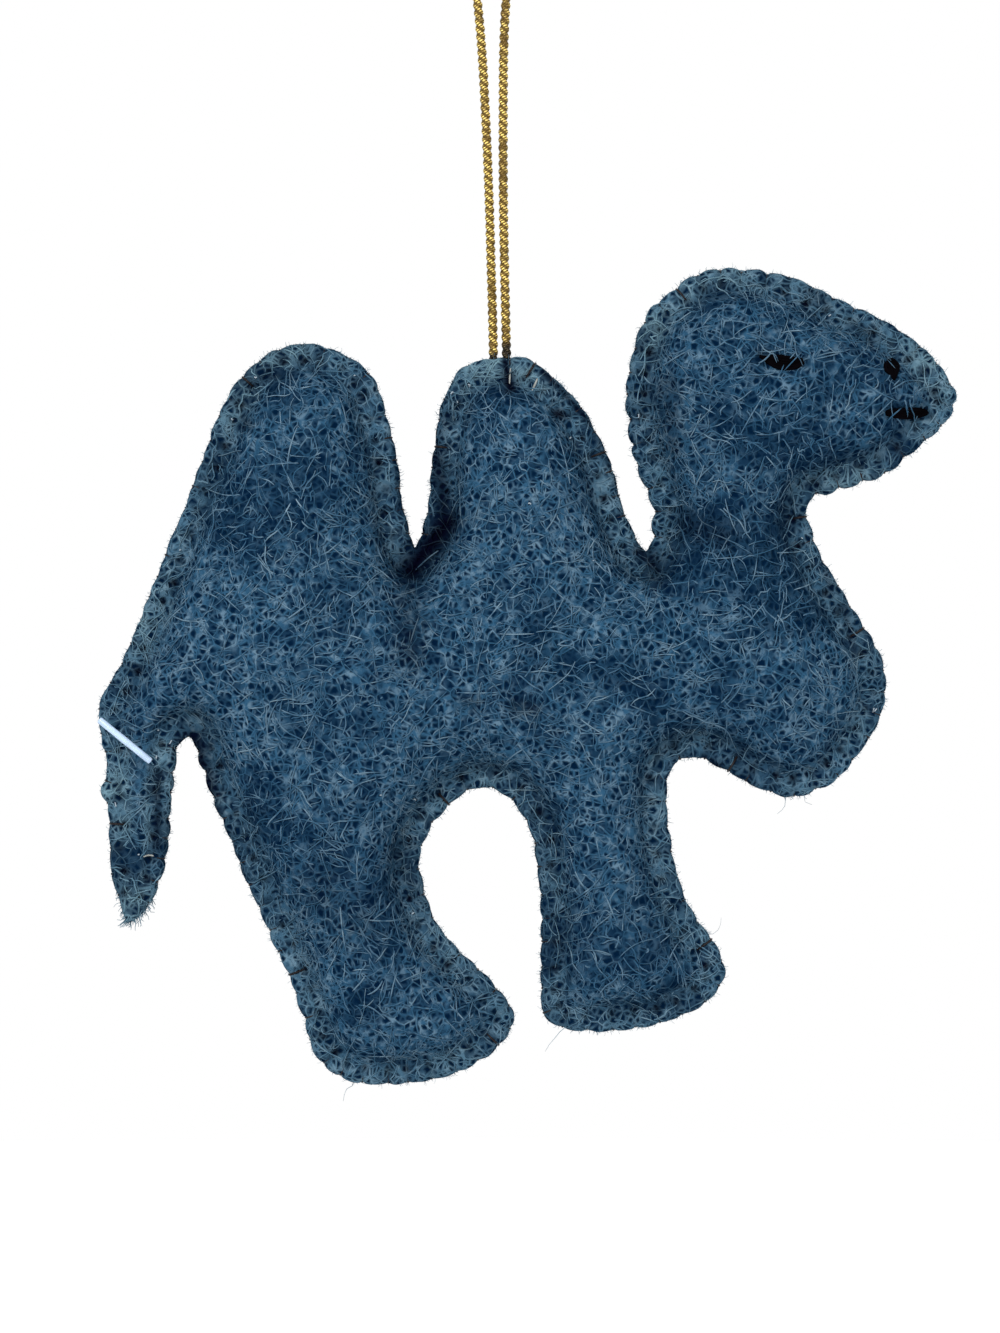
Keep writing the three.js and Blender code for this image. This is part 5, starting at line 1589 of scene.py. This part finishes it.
class ORNAMENT_OT_set_stage(bpy.types.Operator):
    """Sets the camera, the pale floor and the soft light"""

    bl_idname = "ornament.set_stage"
    bl_label = "Set the stage"

    def execute(self, context):
        stage = context.scene.ornament_stage
        camera = bpy.data.cameras.new("camera")
        camera.sensor_width = SENSOR_WIDTH
        camera.lens = SENSOR_WIDTH * CAMERA_DISTANCE / FRAME_HEIGHT
        camera.clip_start = NEAREST_SEEN
        viewer = bpy.data.objects.new("camera", camera)
        viewer.location = (FRAME_MIDDLE[0], -CAMERA_DISTANCE, FRAME_MIDDLE[1])
        viewer.rotation_euler = (math.pi / 2, 0, 0)
        context.scene.collection.objects.link(viewer)
        context.scene.camera = viewer
        context.scene.view_settings.view_transform = "Standard"
        self.floor(stage)
        for name, (at, size) in LIGHTS.items():
            self.light(context, f"{name}_light", at, size, getattr(stage, name))
        self.air(context, stage)
        return {"FINISHED"}

    def floor(self, stage):
        """A round sheet of pale card below the feet."""
        sides, rings = FLOOR_SIDES, FLOOR_RINGS
        angle = angles_round(sides)
        reach = np.linspace(0, FLOOR_RADIUS, rings + 1)[1:]
        z = CAD_BOX[0][2] - stage.drop
        x = np.outer(reach, np.cos(angle)).ravel()
        y = np.outer(reach, np.sin(angle)).ravel()
        vertices = np.concatenate([[(0, 0, z)], np.stack([x, y, np.full(x.size, z)], axis=1)])
        around = np.arange(sides)
        start = 1 + np.arange(rings - 1)[:, None] * sides
        here, after = start + around, start + (around + 1) % sides
        wall = np.stack([here, here + sides, after + sides, here, after + sides, after], axis=2)
        centre = np.stack([np.zeros_like(around), 1 + around, 1 + (around + 1) % sides], axis=1)
        finish = Finish("pale_card", Roughness=0.8)
        grain = finish.between(finish.noise(400, 3), 0.3, 0.7)
        finish.set(Base_Color=finish.mix(grain, opaque(stage.floor, 0.97), opaque(stage.floor)))
        faces = np.concatenate([centre, wall.reshape(-1, 3)])
        new_piece("floor", vertices, faces, finish.material)

    def light(self, context, name, at, size, power):
        """A square soft light that faces the ornament's middle."""
        lamp = bpy.data.lights.new(name, "AREA")
        lamp.size = size
        lamp.energy = power
        holder = bpy.data.objects.new(name, lamp)
        middle = (CAD_BOX[0] + CAD_BOX[1]) / 2
        holder.location = middle + type(middle)(at)
        holder.rotation_euler = (middle - holder.location).to_track_quat("-Z", "Y").to_euler()
        context.scene.collection.objects.link(holder)

    def air(self, context, stage):
        """White all round, softer in what it lights than in what is seen."""
        world = bpy.data.worlds.new("white_air")
        world.use_nodes = True
        tree = world.node_tree
        white = tree.nodes["Background"]
        white.inputs["Color"].default_value = WHITE
        felt_light = tree.nodes.new("ShaderNodeBackground")
        felt_light.inputs["Color"].default_value = AIR
        felt_light.inputs["Strength"].default_value = stage.ambient
        mix = tree.nodes.new("ShaderNodeMixShader")
        rays = tree.nodes.new("ShaderNodeLightPath")
        tree.links.new(rays.outputs["Is Camera Ray"], mix.inputs[0])
        tree.links.new(felt_light.outputs[0], mix.inputs[1])
        tree.links.new(white.outputs[0], mix.inputs[2])
        tree.links.new(mix.outputs[0], tree.nodes["World Output"].inputs[0])
        context.scene.world = world


class ORNAMENT_OT_twist_cord(bpy.types.Operator):
    """Twists the gold cord along its route and finishes the knot inside the hump"""

    bl_idname = "ornament.twist_cord"
    bl_label = "Twist the cord"

    def execute(self, context):
        cord = context.scene.ornament_cord
        line, length = cord_line()
        if abs(line[0][2] - line[-1][2]) > STRANDS_LEVEL:
            raise RuntimeError("the cord's two strands don't end side by side")
        vertices, faces, crest, shade, along, around = self.twist(line, cord.diameter / 2)
        piece = new_piece("gold_cord", vertices, faces, gold_finish())
        add_values(piece, "crest", crest)
        add_values(piece, "shade", shade)
        self.add_map(piece, along, around)
        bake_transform(piece)
        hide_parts("hanging_cord")
        knot = frame["nodes"]["cord_end_knot"]
        knot.data.materials.clear()
        knot.data.materials.append(knot_finish())
        return {"FINISHED"}

    def twist(self, line, radius):
        """Two plies wound round each other. Round the middle line the surface lies at the radius
        times the root of a waist share plus the rest times the squared cosine of the angle from the
        plies, and the plies turn once in each pitch."""
        lengths = lengths_along(line)
        heading = unit(np.gradient(line, axis=0))
        side = unit(np.cross(heading, (0, 1, 0)))
        up = np.cross(side, heading)
        angle = angles_round(CORD_SIDES)
        turned = lengths * 2 * math.pi / CORD_PLY_PITCH
        from_ply = angle[None] - turned[:, None]
        ply = np.cos(from_ply) ** 2
        reach = radius * np.sqrt(CORD_WAIST_SHARE + (1 - CORD_WAIST_SHARE) * ply)
        spokes = side[:, None] * np.cos(angle)[:, None] + up[:, None] * np.sin(angle)[:, None]
        vertices = (line[:, None] + spokes * reach[..., None]).reshape(-1, 3)
        faces = ring_faces(len(line), CORD_SIDES)
        along = np.repeat(lengths / CORD_PLY_PITCH, CORD_SIDES)
        share = (from_ply / (2 * math.pi)).ravel()
        # Painted shade on the feet, where the strands go into the felt
        first, last = lengths - SEWN_IN, lengths[-1] - lengths - SEWN_IN
        out = np.minimum(smoothstep(*CORD_SHADES[0], first), smoothstep(*CORD_SHADES[1], last))
        shade = np.repeat(CORD_SHADE_SHARE * (1 - out), CORD_SIDES)
        # With the plies' painted highlight and shade
        return vertices, faces, smoothstep(*CORD_PAINTED_RIDGE, ply).ravel(), shade, along, share

    def add_map(self, piece, along, around):
        """The cord's own map: along it in plies' turns, and round each ply."""
        layer = piece.data.uv_layers.new(name="along")
        corners = np.empty(len(piece.data.loops), np.int32)
        piece.data.loops.foreach_get("vertex_index", corners)
        uv = np.stack([along[corners], around[corners]], axis=1) * CORD_MAP_REPEATS
        layer.data.foreach_set("uv", uv.astype(np.float32).ravel())


class ORNAMENT_OT_cut_felt(bpy.types.Operator):
    """Cuts and puffs the two felt panels"""

    bl_idname = "ornament.cut_felt"
    bl_label = "Cut the felt"

    def execute(self, context):
        material = felt_finish()
        for name, side in SIDES.items():
            build_panel(name, side, material)
        return {"FINISHED"}


class ORNAMENT_OT_fill_wool(bpy.types.Operator):
    """Fills the panels with wads of loose wool"""

    bl_idname = "ornament.fill_wool"
    bl_label = "Fill with wool"

    def execute(self, context):
        material = wool_finish()
        for node in sorted(n for n in frame["nodes"] if n.startswith("stuffing_")):
            build_wad(node, material)
        return {"FINISHED"}


class ORNAMENT_OT_lay_fibres(bpy.types.Operator):
    """Lays loose wool fibres over both panels and hairs round the cut edge"""

    bl_idname = "ornament.lay_fibres"
    bl_label = "Lay the fibres"

    def execute(self, context):
        felt = context.scene.ornament_felt
        shape = figure()
        material = fibre_finish()
        for side_name, side in SIDES.items():
            for number, (name, kind) in enumerate(FIBRE_KINDS.items()):
                random = np.random.default_rng(FIBRE_SEED + 10 * number + side)
                count = round(felt.fibres * kind["share"])
                laid = lay_fibres(shape, side, kind, count, random)
                self.lay(f"{side_name}_{name}_fibres", shape, *laid, 1, material)
        singles = [("front", "face", FACE_FIBRE_PIXELS), ("back", "face", FACE_FIBRE_PIXELS),
                   ("front", "long", LONG_FIBRE_PIXELS)]
        for side_name, kind, pixels in singles:
            laid = single_fibres(shape, SIDES[side_name], pixels, SINGLE_RADII[kind])
            name = f"{side_name}_{kind}_fibres"
            self.lay(name, shape, *laid, SINGLE_TINTS[kind], SINGLE_DARK_AND_SHADE_SHARE, material)
        paths, radii, tints = rim_hairs(shape, felt.hairs, np.random.default_rng(HAIR_SEED))
        tube_piece("rim_hairs", paths, radii, FIBRE_SIDES, material, "felt", tint=tints, pale=HAIR_PALE_AND_SHEEN)
        paths, radii = specks(shape, np.random.default_rng(LINT_SEED))
        tube_piece("lint_specks", paths, radii, LINT_SIDES, material, "felt", lint=1)
        return {"FINISHED"}

    def lay(self, name, shape, paths, radii, tint, dark_and_shade_share, material):
        """A piece of fibres that take on the felt's dark blotches and painted shade, and its pale rim and
        painted sheen, from under them.
        """
        tones = shape.tones(paths.reshape(-1, 3)[:, [0, 2]])
        dark, pale = [tone.reshape(radii.shape) for tone in tones]
        tube_piece(name, paths, radii, FIBRE_SIDES, material, "felt",
                   tint=tint, dark=dark * dark_and_shade_share, pale=pale)


class ORNAMENT_OT_whip_stitch(bpy.types.Operator):
    """Sews the panels together round their edge, one thread for each run"""

    bl_idname = "ornament.whip_stitch"
    bl_label = "Whip-stitch the edge"

    def execute(self, context):
        threads = context.scene.ornament_threads
        shape = figure()
        radius = threads.diameter / 2
        random = np.random.default_rng(THREAD_SEED)
        material = thread_finish("brown_seam_thread", threads.seam, 0.55, 2600, 0.12)
        for name, run in shape.stitches.items():
            shown = random.random(len(run["stations"])) < RUNS[name]["shows"]
            path = smooth_curve(whip_path(shape, run, radius, shown, random), THREAD_SAMPLES, False)
            tube_piece(f"whip_stitch_{name}", path[None], np.full((1, len(path)), radius),
                       SEAM_THREAD_SIDES, material, "seam_thread", f"seam_thread_{name}")
        # Short ends of seam thread painted pale as glints
        paths, radii = single_fibres(
            shape, SIDES["front"], THREAD_GLINT_PIXELS, SINGLE_RADII["thread"])
        tube_piece("pale_thread_ends", paths, radii, SEAM_THREAD_SIDES, material, "seam_thread", pale=1)
        return {"FINISHED"}


class ORNAMENT_OT_stitch_face(bpy.types.Operator):
    """Sews the eye, the nostril and the mouth on both sides"""

    bl_idname = "ornament.stitch_face"
    bl_label = "Stitch the face"

    def execute(self, context):
        threads = context.scene.ornament_threads
        shape = figure()
        radius = threads.face_diameter / 2
        random = np.random.default_rng(FACE_SEED)
        material = thread_finish("dark_face_thread", threads.face, 0.85, 2200, 0)
        for side_name, side in SIDES.items():
            for name, feature in FEATURES.items():
                strands = face_paths(shape, feature, side, radius, random)
                paths = np.stack([smooth_curve(strand, THREAD_SAMPLES, False) for strand in strands])
                tube_piece(f"{side_name}_{name}", paths, np.full(paths.shape[:2], radius),
                           FACE_THREAD_SIDES, material, "face_thread", f"{side_name}_{name}_stitch")
        return {"FINISHED"}


class ORNAMENT_OT_shoot_tag(bpy.types.Operator):
    """Shoots the plastic tag fastener through the root of the tail"""

    bl_idname = "ornament.shoot_tag"
    bl_label = "Shoot the tag fastener"

    bevel = 0.12 * MM
    bar_sides = 20
    bar_swell = 1.06  # how thick the bar's middle is, of its thickness, and where that begins
    swell_share = 0.4
    filament = 0.5 * MM
    stem_points = 14
    stem_sides = 12
    flares = ((0.7, 0.06), (0.9, 0.08))  # how much the stem widens at its ends, over what share of it
    paddle_length = 6 * MM
    paddle_width = 2.6 * MM
    paddle_thickness = 0.9 * MM
    paddle_bevel = 0.24 * MM
    bevel_share = 0.3  # how far the bevel's middle lies from the faces that it joins, of the bevel
    paddle_sides = 40
    angle = math.radians(-39)

    def execute(self, context):
        tag = context.scene.ornament_tag
        low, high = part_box("tag_fastener")
        radius = tag.bar_diameter / 2
        bar_y = low[1] + radius
        far = high[1] - self.paddle_thickness / 2
        heading = np.array([math.cos(self.angle), 0, math.sin(self.angle)])
        parts = [
            self.bar((TAG_AT[0], bar_y, TAG_AT[2]), tag.bar_length / 2, radius, heading),
            self.stem(bar_y, far),
            self.paddle(high[1], heading),
        ]
        vertices, faces, start = [], [], 0
        for some_vertices, some_faces in parts:
            vertices.append(some_vertices)
            faces.append(some_faces + start)
            start += len(some_vertices)
        piece = new_piece("tag_fastener_plastic", np.concatenate(vertices), np.concatenate(faces),
                          plastic_finish())
        declare(piece, "tag_fastener", "tag_plastic", "tag_fastener")
        return {"FINISHED"}

    def bar(self, middle, half, radius, heading):
        """The bar in front: a rod with bevelled ends, a little thicker in the middle."""
        end, grip = half - self.bevel, half * self.swell_share
        stations = np.array([-half, -end, -grip, 0, grip, end, half])
        radii = np.full(len(stations), radius)
        radii[[0, -1]] -= self.bevel
        radii[len(radii) // 2] *= self.bar_swell
        return tubes((middle + stations[:, None] * heading)[None], radii[None], self.bar_sides)

    def stem(self, front, back):
        """The thin filament through the felt, which widens to the bar and to the paddle."""
        y = np.linspace(front, back, self.stem_points)
        way = np.linspace(0, 1, self.stem_points)
        (at_bar, bar_reach), (at_paddle, paddle_reach) = self.flares
        flare = at_bar * bell(way, bar_reach) + at_paddle * bell(1 - way, paddle_reach)
        path = in_space(np.tile(TAG_AT, (len(y), 1))[:, [0, 2]], y)
        return tubes(path[None], (self.filament / 2 * (1 + flare))[None], self.stem_sides)

    def paddle(self, back, heading):
        """A round-ended plate: its outline drawn in at the top and bottom as a rounded edge, each
        ring a straight run and two half circles, and closed over by fans."""
        across = np.array([-heading[2], 0, heading[0]])
        turn = angles_round(self.paddle_sides)
        flat = (self.paddle_length - self.paddle_width) / 2
        thick, bevel = self.paddle_thickness, self.paddle_bevel
        middle = bevel * self.bevel_share
        profile = [(bevel, 0), (middle, middle), (0, bevel), (0, thick - bevel),
                   (middle, thick - middle), (bevel, thick)]
        rings = []
        for inset, rise in profile:
            radius = self.paddle_width / 2 - inset
            x = radius * np.cos(turn) + flat * np.sign(np.cos(turn))
            z = radius * np.sin(turn)
            ring = np.outer(x, heading) + np.outer(z, across)
            ring += (TAG_AT[0], back - thick + rise, TAG_AT[2])
            rings.append(ring)
        return np.concatenate(rings), ring_faces(len(rings), self.paddle_sides)


class VIEW3D_PT_felt_ornament(bpy.types.Panel):
    """Lists the steps that make the ornament, with their settings"""

    bl_label = "Felt ornament"
    bl_space_type = "VIEW_3D"
    bl_region_type = "UI"
    bl_category = "Ornament"

    def draw(self, context):
        scene = context.scene
        for step in MAKING:
            self.layout.operator(step.bl_idname)
        for group in SETTINGS:
            settings = getattr(scene, group)
            box = self.layout.box()
            for name in settings.bl_rna.properties.keys():
                if name not in ("rna_type", "name"):
                    box.prop(settings, name)


SETTINGS = {
    "ornament_felt": FeltSettings,
    "ornament_cord": CordSettings,
    "ornament_threads": ThreadSettings,
    "ornament_tag": TagSettings,
    "ornament_stage": StageSettings,
}
MAKING = [
    ORNAMENT_OT_set_stage,
    ORNAMENT_OT_twist_cord,
    ORNAMENT_OT_cut_felt,
    ORNAMENT_OT_fill_wool,
    ORNAMENT_OT_lay_fibres,
    ORNAMENT_OT_whip_stitch,
    ORNAMENT_OT_stitch_face,
    ORNAMENT_OT_shoot_tag,
]


def register():
    for group in [*SETTINGS.values(), *MAKING, VIEW3D_PT_felt_ornament]:
        bpy.utils.register_class(group)
    for name, group in SETTINGS.items():
        setattr(bpy.types.Scene, name, bpy.props.PointerProperty(type=group))


def unregister():
    for name in SETTINGS:
        delattr(bpy.types.Scene, name)
    for group in [VIEW3D_PT_felt_ornament, *reversed(MAKING), *SETTINGS.values()]:
        bpy.utils.unregister_class(group)


def main():
    register()
    bpy.ops.ornament.set_stage()
    bpy.ops.ornament.twist_cord()
    bpy.ops.ornament.cut_felt()
    bpy.ops.ornament.fill_wool()
    bpy.ops.ornament.lay_fibres()
    bpy.ops.ornament.whip_stitch()
    bpy.ops.ornament.stitch_face()
    bpy.ops.ornament.shoot_tag()


if __name__ == "__main__":
    main()
